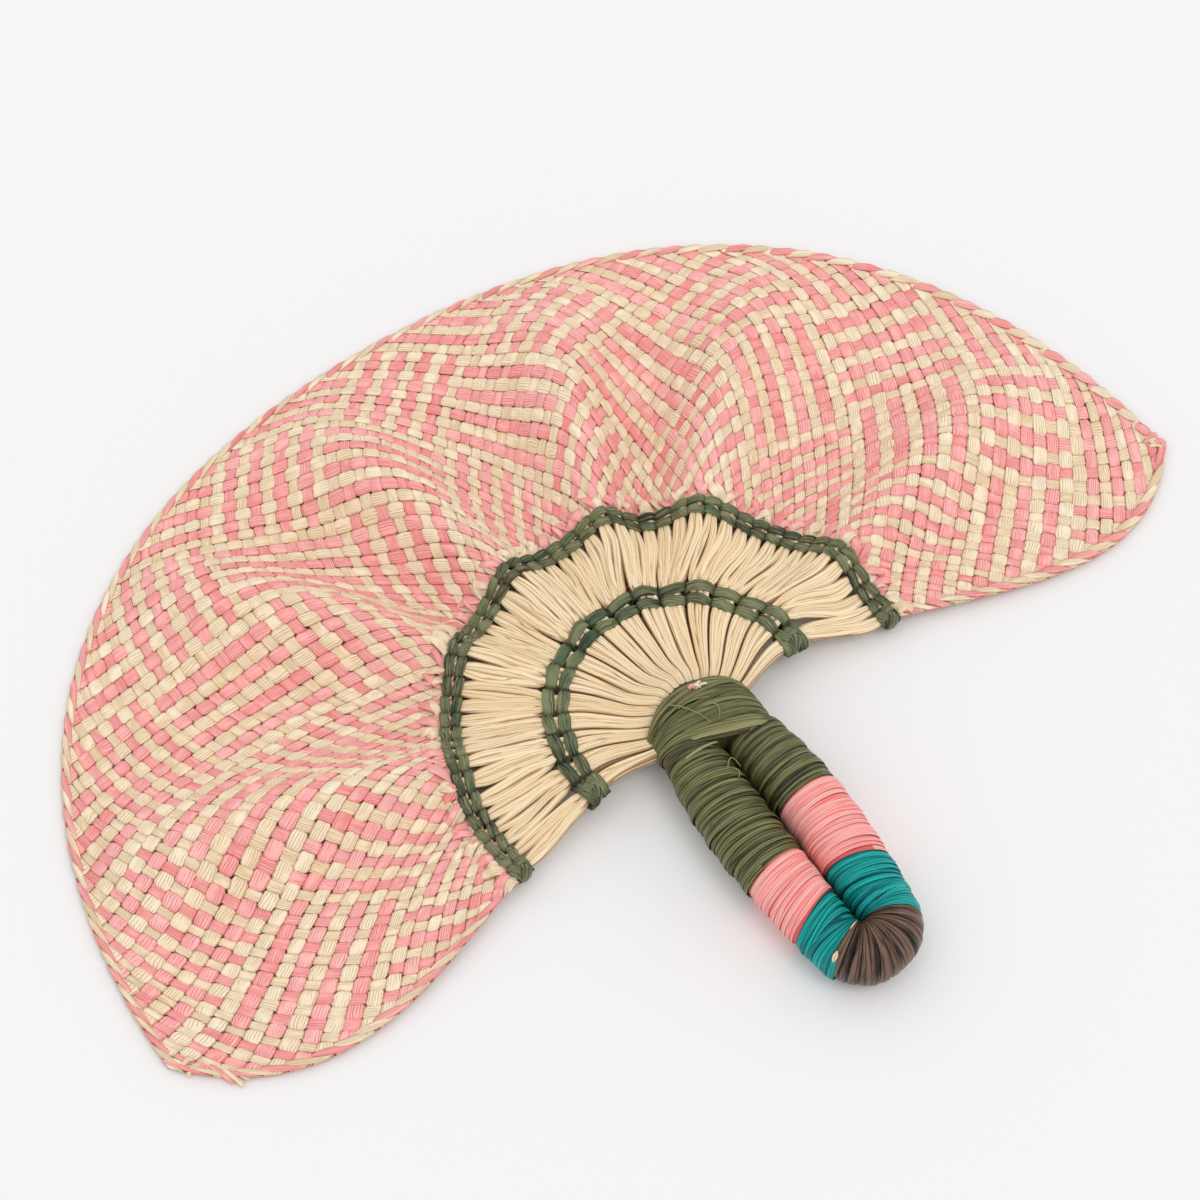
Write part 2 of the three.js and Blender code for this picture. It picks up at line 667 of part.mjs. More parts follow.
const bundleAngles = Array.from({ length: BUNDLE_COUNT }, (_, k) => bundleAngle(k)).reverse();
const fingerAngles = Array.from({ length: fingerTotal }, (_, j) => fingerAngle(j)).reverse();
for (const [label, row, angles] of [
  ['inner', INNER_ROW, bundleAngles],
  ['outer', OUTER_ROW, fingerAngles],
]) {
  addPiece(fan, `${label}_twine_a`, twineStrand(row, angles, 0), DARK_GREEN, 0.6);
  addPiece(fan, `${label}_twine_b`, twineStrand(row, angles, 1), DARK_GREEN, 0.6);
  addPiece(fan, `${label}_twine_knot_right`, endKnot(row, angles[0]), DARK_GREEN, 0.6);
  addPiece(fan, `${label}_twine_knot_left`, endKnot(row, angles[angles.length - 1]), DARK_GREEN, 0.6);
}

addHandlePiece('handle_core', handleCore(), STRAW, 0.8);
neckWrap();
legWinding('left_leg_green_wrap', -1, WRAP_START_Y, LEFT_GREEN_END_Y, WRAP_GREEN);
legWinding('left_leg_pink_wrap', -1, LEFT_GREEN_END_Y, LEFT_PINK_END_Y, WRAP_PINK);
legWinding('left_leg_teal_wrap', -1, LEFT_PINK_END_Y, TEAL_END_Y, WRAP_TEAL);
legWinding('right_leg_green_wrap', 1, WRAP_START_Y, RIGHT_GREEN_END_Y, WRAP_GREEN);
legWinding('right_leg_pink_wrap', 1, RIGHT_GREEN_END_Y, RIGHT_PINK_END_Y, WRAP_PINK);
legWinding('right_leg_teal_wrap', 1, RIGHT_PINK_END_Y, TEAL_END_Y, WRAP_TEAL);
bendWrap();
neckTie();

// Rest the fan on the table, with the middle of its bounding box over the part's origin.
fan.updateMatrixWorld(true);
const box = new THREE.Box3().setFromObject(fan, true);
const middle = box.getCenter(V());
fan.position.set(-middle.x, -middle.y, -box.min.z);
const part = new THREE.Group();
part.name = 'palm_leaf_fan';
part.add(fan);

export default part;
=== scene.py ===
# %% [markdown]
# A plaited palm leaf hand fan, dressed over its CAD solids.
# Every length below is written in millimetres, as on a workshop drawing, and turned into
# metres once, when a mesh is made. The CAD nodes are loaded first and are never moved.

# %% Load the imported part
import math

import bpy
import numpy as np
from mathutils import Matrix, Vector


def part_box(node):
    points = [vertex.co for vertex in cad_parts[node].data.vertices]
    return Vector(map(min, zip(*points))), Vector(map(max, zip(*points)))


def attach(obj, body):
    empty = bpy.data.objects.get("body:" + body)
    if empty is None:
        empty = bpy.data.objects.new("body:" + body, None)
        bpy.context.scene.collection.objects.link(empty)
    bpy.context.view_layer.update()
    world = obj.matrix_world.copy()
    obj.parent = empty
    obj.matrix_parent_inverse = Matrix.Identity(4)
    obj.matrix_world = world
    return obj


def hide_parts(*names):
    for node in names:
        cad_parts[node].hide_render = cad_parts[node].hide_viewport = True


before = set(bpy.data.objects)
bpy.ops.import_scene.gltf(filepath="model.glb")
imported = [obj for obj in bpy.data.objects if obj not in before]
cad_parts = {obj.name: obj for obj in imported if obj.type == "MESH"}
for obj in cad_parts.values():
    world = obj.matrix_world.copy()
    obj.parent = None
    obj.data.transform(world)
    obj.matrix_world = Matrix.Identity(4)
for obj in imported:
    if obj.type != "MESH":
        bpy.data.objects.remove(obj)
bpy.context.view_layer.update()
MM = 0.001
print("CAD nodes:", len(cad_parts))

# %% [markdown]
# The mat is a half moon that waves up and down. Its middle surface is a function of two
# parameters: s runs from the outer twined row (0) to the rim (1), and t from the right edge
# (-1) to the left edge (+1). Working with s and t keeps the curved blade as easy to cover as
# a rectangle, so the strips are later laid in them.

# %% The mat's middle surface
ROW_RADIUS = 84.5
MAT_INNER_RADIUS = ROW_RADIUS + 4
RIM_RADIUS = 217.5
RIM_WIDENING = 6.0
RIM_SQUARING = 3.8
MAT_HALF_ANGLE = 99.2
EDGE_BULGE_ANGLE = 13
TIP_ROUNDING_ANGLE = 7.5
TURN_AT_TWINE = 1.8
TURN_AT_RIM = -0.8
MAT_THICKNESS = 2.6
RIM_FLAT_RATIO = 0.965
RIDGE_COUNT = 6
RIDGE_PITCH_ANGLE = 29
RIDGE_PAIRING_ANGLE = 1.75
RIDGE_MIDDLE_ANGLE = 86.75
RIDGE_LEAN_ANGLE = 5.5
RIDGE_LEAN_AT_ANGLE = 60
RIDGE_LEAN_SPREAD_ANGLE = 26
CREST_SHARPNESS = 1.4
WAVE_AT_TWINE = 5.5
WAVE_IN_MIDDLE = 8.0
BLADE_LIFT = 4.5


def smooth(x):
    """The soft step: 3x^2 - 2x^3 between 0 and 1, flat outside."""
    x = np.clip(x, 0, 1)
    return x * x * (3 - 2 * x)


def rim_radius(angle):
    """A circle made wider and squarer: R + a cos 2A - b cos 4A."""
    a = np.radians(angle)
    return RIM_RADIUS + RIM_WIDENING * np.cos(2 * a) - RIM_SQUARING * np.cos(4 * a)


def wave(s, angle):
    """Ridges that fan out: a raised cosine of the plan angle, sharpened, from -1 to 1."""
    near = np.exp(-(((angle - RIDGE_LEAN_AT_ANGLE) / RIDGE_LEAN_SPREAD_ANGLE) ** 2))
    upright = angle - RIDGE_LEAN_ANGLE * near * np.clip(1 - s, 0, None) ** 1.5
    place = (upright - RIDGE_MIDDLE_ANGLE) / RIDGE_PITCH_ANGLE + (RIDGE_COUNT - 1) / 2
    pairing = RIDGE_PAIRING_ANGLE / RIDGE_PITCH_ANGLE * np.cos(np.pi * place)
    paired = np.clip(place + pairing, -0.5, RIDGE_COUNT - 0.5)
    return 2 * (0.5 + 0.5 * np.cos(2 * np.pi * paired)) ** CREST_SHARPNESS - 1


def mat_height(s, angle):
    """Waves that start at the twine, are fullest half way and die out at the rim."""
    q = np.minimum(s / RIM_FLAT_RATIO, 1)
    swing = WAVE_AT_TWINE * (1 - q) + 4 * WAVE_IN_MIDDLE * q * (1 - q)
    return MAT_THICKNESS / 2 + BLADE_LIFT * (1 - q) ** 2 + swing * (1 + wave(s, angle))


def mat_point(s, t):
    """Polar grid: the angle opens with t, the radius runs from the twine to the rim with s."""
    half = MAT_HALF_ANGLE + EDGE_BULGE_ANGLE * s * (1 - s) - TIP_ROUNDING_ANGLE * s**4
    angle = 90 + TURN_AT_TWINE + (TURN_AT_RIM - TURN_AT_TWINE) * s + t * half
    r = MAT_INNER_RADIUS + s * (rim_radius(angle) - MAT_INNER_RADIUS)
    a = np.radians(angle)
    return np.stack([r * np.cos(a), r * np.sin(a), mat_height(s, angle)], -1)


def mat_normal(s, t):
    """The surface's upward normal: the cross product of its two slopes."""
    step = 1e-3
    along_s = mat_point(s + step, t) - mat_point(s - step, t)
    along_t = mat_point(s, t + step) - mat_point(s, t - step)
    n = np.cross(along_s, along_t)
    return n / np.linalg.norm(n, axis=-1, keepdims=True)


# The drawing has its origin in the middle of the twined rows, so it is shifted to the part.
outline_s, outline_t = np.meshgrid(np.linspace(0, 1, 61), np.linspace(-1, 1, 241))
outline = mat_point(outline_s, outline_t)[..., :2].reshape(-1, 2)
mat_lo, mat_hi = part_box("blade_mat")
mat_middle = np.array([(mat_lo.x + mat_hi.x) / 2, mat_hi.y, 0]) / MM
drawn_middle = np.array([(outline[:, 0].min() + outline[:, 0].max()) / 2, outline[:, 1].max(), 0])
SHIFT = mat_middle - drawn_middle
print("drawing to part shift in mm:", SHIFT.round(2))

# %% [markdown]
# The photograph looks down on the fan from the handle side with a long lens. The camera's
# angle, distance and lens were fitted to the outline, so pieces can be compared in place.
# The floor is plain and pale, the light is a pale world with one broad soft lamp, and the
# level is set so that a colour renders about as it is written.

# %% Stage, light and camera
CAMERA_AZIMUTH = math.radians(-36.2)
CAMERA_ELEVATION = math.radians(57.4)
CAMERA_DISTANCE = 1102
CAMERA_LENS = 90
CAMERA_TARGET = Vector((6.5, 61.8, 0))
FLOOR_HALF = 6.0
ROOM_COLOR = (1.0, 0.992, 0.99, 1)
ROOM_STRENGTH = 0.93
LAMP_STRENGTH = 0.46
LAMP_WIDTH_ANGLE = math.radians(28)
LAMP_TURN = (math.radians(26), math.radians(10), 0)


def srgb(r, g, b):
    """A colour as a screen shows it (0 to 255) turned into the linear values shaders use."""
    c = np.array([r, g, b]) / 255
    return tuple(np.where(c <= 0.04045, c / 12.92, ((c + 0.055) / 1.055) ** 2.4)) + (1.0,)


def paint(material, color, roughness):
    """A plain finish for the stage."""
    material.use_nodes = True
    shader = material.node_tree.nodes["Principled BSDF"]
    shader.inputs["Base Color"].default_value = color
    shader.inputs["Roughness"].default_value = roughness
    return material


floor_mesh = bpy.data.meshes.new("floor")
floor_mesh.from_pydata(
    [(-FLOOR_HALF, -FLOOR_HALF, 0), (FLOOR_HALF, -FLOOR_HALF, 0),
     (FLOOR_HALF, FLOOR_HALF, 0), (-FLOOR_HALF, FLOOR_HALF, 0)], [], [(0, 1, 2, 3)])
floor_mesh.materials.append(paint(bpy.data.materials.new("pale_floor"), srgb(241, 240, 240), 0.8))
floor = bpy.data.objects.new("floor", floor_mesh)
bpy.context.scene.collection.objects.link(floor)

world = bpy.data.worlds.new("pale_room")
world.use_nodes = True
world.node_tree.nodes["Background"].inputs["Color"].default_value = ROOM_COLOR
world.node_tree.nodes["Background"].inputs["Strength"].default_value = ROOM_STRENGTH
bpy.context.scene.world = world

lamp_data = bpy.data.lights.new("soft_window", "SUN")
lamp_data.energy = LAMP_STRENGTH
lamp_data.angle = LAMP_WIDTH_ANGLE
lamp = bpy.data.objects.new("soft_window", lamp_data)
lamp.rotation_euler = LAMP_TURN
bpy.context.scene.collection.objects.link(lamp)

camera_data = bpy.data.cameras.new("camera")
camera_data.lens = CAMERA_LENS
camera_data.sensor_width = 36
camera = bpy.data.objects.new("camera", camera_data)
back = Vector((math.sin(CAMERA_AZIMUTH) * math.cos(CAMERA_ELEVATION),
               -math.cos(CAMERA_AZIMUTH) * math.cos(CAMERA_ELEVATION),
               math.sin(CAMERA_ELEVATION)))
target = (CAMERA_TARGET + Vector(SHIFT)) * MM
camera.location = target + back * CAMERA_DISTANCE * MM
camera.rotation_mode = "QUATERNION"
camera.rotation_quaternion = (-back).to_track_quat("-Z", "Y")
bpy.context.scene.collection.objects.link(camera)
bpy.context.scene.camera = camera
bpy.context.scene.view_settings.view_transform = "Standard"
print("camera at", [round(x, 3) for x in camera.location])

# %% [markdown]
# Nearly every piece of the fan is a strip of leaf: a closed ring of points (its section)
# carried along a path. One helper therefore takes grids of rings and joins them into a mesh.
# Each point also keeps how far it is across and along its strip, as a UV map, and two
# attributes: tone, which makes one strip lighter than the next, and depth, which says whether
# the strip lies over or under its neighbours. The materials read all of these, and paint shade
# where depth is low.

# %% From rings of points to a piece
class Rings:
    """Collects swept strips: each is a grid of points, n places along by m round the section."""

    def __init__(self):
        self.points, self.across, self.along, self.tone, self.depth = [], [], [], [], []
        self.quads, self.caps = [], []
        self.total = 0

    def add(self, points, across, along, tone, depth):
        """Adds one strip. Faces join each ring to the next, and the end rings are filled."""
        n, m = points.shape[:2]
        rows, cols = np.meshgrid(np.arange(n - 1), np.arange(m), indexing="ij")
        after = (cols + 1) % m
        quads = np.stack([rows * m + cols, rows * m + after,
                          (rows + 1) * m + after, (rows + 1) * m + cols], -1).reshape(-1, 4)
        flat = points.reshape(-1, 3) - points.reshape(-1, 3).mean(0)
        a, b, c, d = (flat[quads[:, i]] for i in range(4))
        volume = np.einsum("ij,ij->", a, np.cross(b, c)) + np.einsum("ij,ij->", a, np.cross(c, d))
        first, last = np.arange(m)[::-1], np.arange(m) + (n - 1) * m
        if volume < 0:
            quads, first, last = quads[:, ::-1], first[::-1], last[::-1]
        self.quads.append(quads + self.total)
        self.caps += [first + self.total, last + self.total]
        self.points.append(points.reshape(-1, 3))
        shape = (n, m)
        for store, value in ((self.across, across), (self.along, along),
                             (self.tone, tone), (self.depth, depth)):
            store.append(np.broadcast_to(value, shape).reshape(-1))
        self.total += n * m


def make_piece(name, rings, material, slot, nodes, sharp_angle=None):
    """Puts the collected strips into one mesh object that rides on the root body."""
    points = (np.concatenate(rings.points) + SHIFT) * MM
    quads = np.concatenate(rings.quads)
    corners = np.concatenate([quads.reshape(-1)] + rings.caps)
    sizes = np.concatenate([np.full(len(quads), 4), [len(c) for c in rings.caps]]).astype(np.int32)
    mesh = bpy.data.meshes.new(name)
    mesh.vertices.add(len(points))
    mesh.vertices.foreach_set("co", points.astype(np.float32).reshape(-1))
    mesh.loops.add(len(corners))
    mesh.loops.foreach_set("vertex_index", corners.astype(np.int32))
    mesh.polygons.add(len(sizes))
    starts = np.concatenate([[0], np.cumsum(sizes)[:-1]]).astype(np.int32)
    mesh.polygons.foreach_set("loop_start", starts)
    mesh.update(calc_edges=True)
    uv = np.stack([np.concatenate(rings.across), np.concatenate(rings.along)], -1)
    mesh.uv_layers.new(name="strip").data.foreach_set(
        "uv", uv[corners].astype(np.float32).reshape(-1))
    for key, values in (("tone", rings.tone), ("depth", rings.depth)):
        layer = mesh.attributes.new(key, "FLOAT", "POINT")
        layer.data.foreach_set("value", np.concatenate(values).astype(np.float32))
    mesh.polygons.foreach_set("use_smooth", np.ones(len(sizes), bool))
    if sharp_angle:
        mesh.set_sharp_from_angle(angle=math.radians(sharp_angle))
    mesh.validate()
    mesh.materials.append(material)
    piece = bpy.data.objects.new(name, mesh)
    bpy.context.scene.collection.objects.link(piece)
    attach(piece, "root")
    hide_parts(*nodes)
    print(name, "triangles:", int((sizes - 2).sum()))
    return piece


# %% [markdown]
# A finish is worked out by many small sums and products, each a node of its own. Written out
# one by one they would hide the idea, so the few that are needed get short names first.

# %% Short names for wiring a finish
class Wiring:
    """A new material, with one short call for each kind of node that a leaf finish needs."""

    def __init__(self, name):
        self.material = bpy.data.materials.new(name)
        self.material.use_nodes = True
        self.tree = self.material.node_tree
        self.shader = self.tree.nodes["Principled BSDF"].inputs

    def node(self, kind, **settings):
        """A node with its settings."""
        made = self.tree.nodes.new(kind)
        for key, value in settings.items():
            setattr(made, key, value)
        return made

    def wire(self, value, socket):
        """Links the socket of another node, or sets a constant."""
        if isinstance(value, bpy.types.NodeSocket):
            self.tree.links.new(value, socket)
        else:
            socket.default_value = value

    def work_out(self, operation, a, b=0.0, clamp=False):
        """One step of arithmetic, kept between 0 and 1 where clamp is set."""
        made = self.node("ShaderNodeMath", operation=operation, use_clamp=clamp)
        self.wire(a, made.inputs[0])
        self.wire(b, made.inputs[1])
        return made.outputs[0]

    def plus(self, a, b, clamp=False):
        """a plus b"""
        return self.work_out("ADD", a, b, clamp)

    def minus(self, a, b, clamp=False):
        """a minus b"""
        return self.work_out("SUBTRACT", a, b, clamp)

    def times(self, a, b, clamp=False):
        """a times b"""
        return self.work_out("MULTIPLY", a, b, clamp)

    def from_half(self, a):
        """How far a is from one half, whichever way."""
        return self.work_out("ABSOLUTE", self.minus(a, 0.5))

    def mix(self, factor, a, b):
        """The colour a where the factor is 0 and b where it is 1."""
        made = self.node("ShaderNodeMix", data_type="RGBA")
        self.wire(factor, made.inputs["Factor"])
        self.wire(a, made.inputs[6])
        self.wire(b, made.inputs[7])
        return made.outputs[2]

    def noise(self, across, along, seed, detail):
        """Soft noise over the strip. Another seed gives another strip's noise."""
        place = self.node("ShaderNodeCombineXYZ")
        for value, socket in zip((across, along, seed), place.inputs):
            self.wire(value, socket)
        made = self.node("ShaderNodeTexNoise")
        made.inputs["Scale"].default_value = 1.0
        made.inputs["Detail"].default_value = detail
        self.wire(place.outputs[0], made.inputs["Vector"])
        return made.outputs["Fac"]

    def attribute(self, name):
        """A value that the mesh carries at each point."""
        return self.node("ShaderNodeAttribute", attribute_name=name).outputs["Fac"]


# %% [markdown]
# Palm leaf dries in long fibres, so a strip shows fine lines along its length and a few
# creases where it was pressed flat. The finish below is the same for every leaf on the fan and
# only its colours and strengths change: stretched noise gives the fibres, even lines bent by a
# second stretched noise give the creases, and both also drive the bump. The crease lines carry
# painted shade, and on most finishes so does a band along the edges, where a strip curves down.
# On the mat the creases come and go, so a patchy noise leaves gaps in them. Where a strip dives
# under its neighbours, shade is painted into its colour as well.

# %% The leaf finish
SEED_STEP = 71.0
BLOTCH_SEED, WANDER_SEED, GAP_SEED, PATCH_SEED = 9.0, 17.0, 23.0, 31.0
FIBRE_STRETCH = 0.35
BLOTCH_STRETCH = 0.55
GAP_ACROSS, GAP_ALONG, GAP_CONTRAST = 1.6, 0.8, 6.0
PATCH_ACROSS, PATCH_ALONG, PATCH_CONTRAST = 0.8, 0.3, 5.0
CREASE_BREAK = 2.2
# The depth below which painted shade darkens a strip; above it the colour is lightened.
UNDER_SHADE_LEVEL = 0.35
EDGE_SHADE_CONTRAST = 14.0
EDGE_SHADE_STRENGTH = 0.75
FIBRE_RELIEF = 0.5
CREASE_RELIEF = 0.6
RELIEF_DEPTH = 0.3
FIBRE_ROUGHNESS = 0.25
FIBRE_ROUGHNESS_MEAN = 0.12


def leaf_finish(name, pale, deep, crease_shade, creases, crease_shade_strength, roughness,
                fibres=16.0, fibre_strength=1.5, fibre_from=0.32, blotches=0.7,
                under_shade_strength=0.5, tone_strength=0.5, bump=0.6, shine=0.35,
                edge_shade=None, edge_shade_from=0.36, stray=None, stray_strength=0.7,
                crease_sharpness=9.0, crease_gaps=None, wander=3.0, wander_along=0.25):
    """Colour = pale to deep by fibres, tone and painted shade by depth; stray patches, then painted edge
    and crease shade.

    A crease runs where a count across the strip, bent by slow noise, passes a half.
    """
    w = Wiring(name)
    parts = w.node("ShaderNodeSeparateXYZ")
    w.wire(w.node("ShaderNodeUVMap", uv_map="strip").outputs[0], parts.inputs[0])
    across, along = parts.outputs[0], parts.outputs[1]
    tone, depth = w.attribute("tone"), w.attribute("depth")
    seed = w.times(tone, SEED_STEP)

    fibre = w.noise(w.times(across, fibres), w.times(along, FIBRE_STRETCH), seed, 3.0)
    blotch = w.noise(across, w.times(along, BLOTCH_STRETCH), w.plus(seed, BLOTCH_SEED), 2.0)
    bent = w.noise(across, w.times(along, wander_along), w.plus(seed, WANDER_SEED), 2.0)
    count = w.plus(w.times(across, creases), w.times(bent, wander))
    level = w.from_half(w.work_out("FRACT", w.plus(count, seed)))
    line = w.minus(1.0, w.times(level, crease_sharpness), clamp=True)
    if crease_gaps:
        pressed = w.noise(w.times(across, GAP_ACROSS), w.times(along, GAP_ALONG),
                          w.plus(seed, GAP_SEED), 1.0)
        line = w.times(line, w.times(w.minus(pressed, crease_gaps), GAP_CONTRAST, clamp=True))
    crease_shade_mask = w.times(line, w.times(fibre, CREASE_BREAK, clamp=True))

    amount = w.times(w.minus(fibre, fibre_from), fibre_strength)
    amount = w.plus(amount, w.times(w.minus(tone, 0.5), tone_strength))
    amount = w.plus(amount, w.times(w.minus(blotch, 0.5), blotches))
    # Painted shade: the lower a strip lies (the smaller its depth), the deeper its colour, and raised parts
    # are lightened.
    under_shade = w.times(w.minus(UNDER_SHADE_LEVEL, depth), under_shade_strength)
    color = w.mix(w.plus(amount, under_shade, clamp=True), srgb(*pale), srgb(*deep))
    if stray:
        patch = w.noise(w.times(across, PATCH_ACROSS), w.times(along, PATCH_ALONG),
                        w.plus(seed, PATCH_SEED), 2.0)
        patch = w.times(w.minus(patch, 0.5), PATCH_CONTRAST, clamp=True)
        color = w.mix(w.times(patch, stray_strength), color, srgb(*stray))
    # Painted shade along both edges of the strip, where it curves down into the gap beside its neighbour.
    if edge_shade:
        edge_shade_band = w.times(w.minus(w.from_half(across), edge_shade_from), EDGE_SHADE_CONTRAST, clamp=True)
        color = w.mix(w.times(edge_shade_band, EDGE_SHADE_STRENGTH), color, srgb(*edge_shade))
    # The crease lines are painted darker: painted shade in the creases.
    color = w.mix(w.times(crease_shade_mask, crease_shade_strength), color, srgb(*crease_shade))
    w.wire(color, w.shader["Base Color"])

    relief = w.node("ShaderNodeBump")
    relief.inputs["Strength"].default_value = bump
    relief.inputs["Distance"].default_value = RELIEF_DEPTH * MM
    w.wire(w.minus(w.times(fibre, FIBRE_RELIEF), w.times(line, CREASE_RELIEF)), relief.inputs["Height"])
    w.wire(relief.outputs[0], w.shader["Normal"])
    rough = w.plus(w.times(fibre, FIBRE_ROUGHNESS), roughness - FIBRE_ROUGHNESS_MEAN)
    w.wire(rough, w.shader["Roughness"])
    w.shader["Specular IOR Level"].default_value = shine
    return w.material


# %% The fan's finishes
# In each finish the crease colour is painted shade in the creases, and a darker edge colour is painted
# shade along the strip edges.
MAT_LEAF = dict(fibres=9, blotches=0.6, under_shade_strength=0.25, bump=0.8, edge_shade_from=0.43,
                stray_strength=0.35, crease_sharpness=6, crease_gaps=0.35, wander=3.2, wander_along=0.4)
WOUND_LEAF = dict(fibres=4.5, fibre_from=0.40)
PINK = leaf_finish("pink_leaf", (255, 190, 185), (245, 130, 129), (198, 64, 68), 6.0, 0.7, 0.55,
                   edge_shade=(222, 100, 98), stray=(238, 122, 122), **MAT_LEAF)
NATURAL = leaf_finish("natural_leaf", (250, 233, 204), (235, 203, 159), (176, 126, 74), 6.0, 0.7, 0.55,
                      edge_shade=(200, 152, 98), stray=(227, 198, 152), **MAT_LEAF)
RIB = leaf_finish("rib_leaf", (247, 226, 188), (224, 188, 136), (148, 92, 40), 2.4, 0.7, 0.48,
                  fibres=7, fibre_strength=0.9, blotches=0.4, under_shade_strength=0.4, bump=0.35,
                  edge_shade=(142, 90, 40), edge_shade_from=0.39, crease_sharpness=7)
TWINE = leaf_finish("green_twine", (126, 130, 92), (20, 25, 11), (10, 14, 6), 5, 0.85, 0.34,
                    fibres=4.5, fibre_strength=3.0, fibre_from=0.38, under_shade_strength=0.4,
                    tone_strength=0.8, bump=1.0, stray=(46, 80, 54), crease_sharpness=4,
                    crease_gaps=0.38, wander=4.5, wander_along=0.5)
OLIVE = leaf_finish("olive_wrap", (126, 127, 80), (28, 32, 13), (22, 20, 11), 3, 0.75, 0.4,
                    fibre_strength=2.8, under_shade_strength=0.3, tone_strength=0.9, bump=1.0,
                    stray=(94, 84, 56), crease_sharpness=4.5, **WOUND_LEAF)
# On this strip the edge colour is paler than the strip itself, a pale margin along both edges.
LIGHT_OLIVE = leaf_finish("light_olive_wrap", (160, 156, 106), (96, 104, 60), (56, 64, 34), 3, 0.6, 0.42,
                          fibres=8, under_shade_strength=0.25, edge_shade=(206, 190, 146))
SALMON = leaf_finish("salmon_wrap", (255, 186, 180), (250, 112, 110), (214, 70, 72), 3, 0.6, 0.5,
                     fibre_strength=2.0, under_shade_strength=0.2, tone_strength=0.6, bump=0.8, shine=0.2,
                     edge_shade=(222, 84, 84), edge_shade_from=0.44, crease_sharpness=6, **WOUND_LEAF)
TEAL = leaf_finish("teal_wrap", (30, 172, 167), (0, 88, 92), (0, 58, 62), 3, 0.7, 0.45,
                   fibre_strength=2.4, under_shade_strength=0.2, tone_strength=0.7, bump=0.9, shine=0.15,
                   edge_shade=(0, 62, 66), edge_shade_from=0.44, crease_sharpness=6, **WOUND_LEAF)
BROWN = leaf_finish("brown_wrap", (118, 90, 75), (5, 2, 2), (4, 2, 2), 2, 0.85, 0.28,
                    fibres=3, fibre_strength=3.6, fibre_from=0.40, under_shade_strength=0.6,
                    tone_strength=1.0, bump=0.8, shine=0.24, edge_shade=(6, 3, 3), edge_shade_from=0.40,
                    crease_sharpness=4.5)
MAT_FINISH = {True: (PINK, "mat_leaf_pink"), False: (NATURAL, "mat_leaf_natural")}
print("leaf finishes ready:", len(bpy.data.materials), "materials so far")


def make_pair(name, rings, node):
    """The pink and the undyed strips of one kind, as two pieces."""
    for pink, dye in ((True, "pink"), (False, "natural")):
        make_piece(f"{name}_{dye}", rings[pink], *MAT_FINISH[pink], [node])


# %% [markdown]
# The blade is a plain weave laid on the slant: one set of strips runs out and to the left, the
# other out and to the right. Counting strips gives each point of the mat two numbers, u and v.
# Both are smooth functions of s and t, fitted so that the colour blocks fall where the
# photograph has them. A strip is then simply a line of constant u (or v), and the inverse,
# from (u, v) back to (s, t), is found for all points at once by Newton's method.

# %% The lattice of strips
STRIPS_HALF = 44.25
U_START = -25.75
V_START = -7.75
DRIFT = np.array([[-1.63, 1.80, -0.01, 3.56], [1.45, -0.45, 0.70, -1.04], [-1.69, -3.38, -0.38, -3.83]])
SPREAD = np.array([[16.55, 1.60, 1.36, -2.71, 0.83], [1.18, 2.22, -6.21, -0.85, 1.10],
                   [5.09, 2.54, -2.22, -0.23, 2.64]])
RIM_STEP = V_START - U_START
LEFT_SUM = 2 * STRIPS_HALF + U_START + V_START
RIGHT_SUM = -2 * STRIPS_HALF + U_START + V_START
TUCK_UNDER_ROW = -0.03
NEWTON_ROUNDS = 12
NEWTON_REACH_S = 0.2
NEWTON_REACH_T = 0.1


def lattice(s, t):
    """u = base + spread and v = base - spread: base counts across t, spread dies out at the rim."""
    base = STRIPS_HALF * t + (1 - t * t) * np.polynomial.polynomial.polyval2d(s, t, DRIFT)
    spread = (1 - s) * np.polynomial.polynomial.polyval2d(s, t, SPREAD)
    return base + U_START + spread, base + V_START - spread


def place(u, v):
    """Newton's method: follow the lattice's slopes until it gives the wanted u and v."""
    t = ((u - U_START) + (v - V_START)) / 2 / STRIPS_HALF
    s = 1 - ((u - U_START) - (v - V_START)) / 2 / SPREAD[0, 0]
    step = 1e-4
    for _ in range(NEWTON_ROUNDS):
        u0, v0 = lattice(s, t)
        us, vs = lattice(s + step, t)
        ut, vt = lattice(s, t + step)
        a, b, c, d = (us - u0) / step, (ut - u0) / step, (vs - v0) / step, (vt - v0) / step
        det = a * d - b * c
        s = s + np.clip(((u - u0) * d - (v - v0) * b) / det, -NEWTON_REACH_S, NEWTON_REACH_S)
        t = t + np.clip(((v - v0) * a - (u - u0) * c) / det, -NEWTON_REACH_T, NEWTON_REACH_T)
    return s, t


row_t = np.linspace(-1.02, 1.02, 801)
row_u, row_v = lattice(np.full_like(row_t, TUCK_UNDER_ROW), row_t)
print("strips at the row: u", row_u.min().round(1), row_u.max().round(1))

# %% [markdown]
# A strip starts under the twined row or at a side edge, and runs to the rim or to the other
# edge. Blocks of pink and undyed strips follow each other, and inside a block the two colours
# take turns. Whether a strip is over or under is a wave of the count along it.

# %% Where the strips run
U_BLOCKS = [-79, -70, -61, -54, -45, -36, -27, -18, -9, 0, 9, 18, 27, 36, 45]
V_BLOCKS = [-81, -72, -63, -54, -45, -36, -27, -18, -9, 0, 9, 18, 29, 38, 47]
OVER_BIAS = {True: 0.22, False: 0.0}
DIVE_STEEPNESS = 2.6


def is_pink(k, blocks):
    """Blocks of strips run natural, pink, natural ... so odd places in a block are pink."""
    start = max(b for b in blocks if b <= k)
    return (k - start) % 2 == 1


def left_inner(u):
    """Where a left-leaning strip starts: at the twined row, or at the right edge."""
    return np.maximum(np.interp(u, row_u, row_v, left=-999), RIGHT_SUM - u)


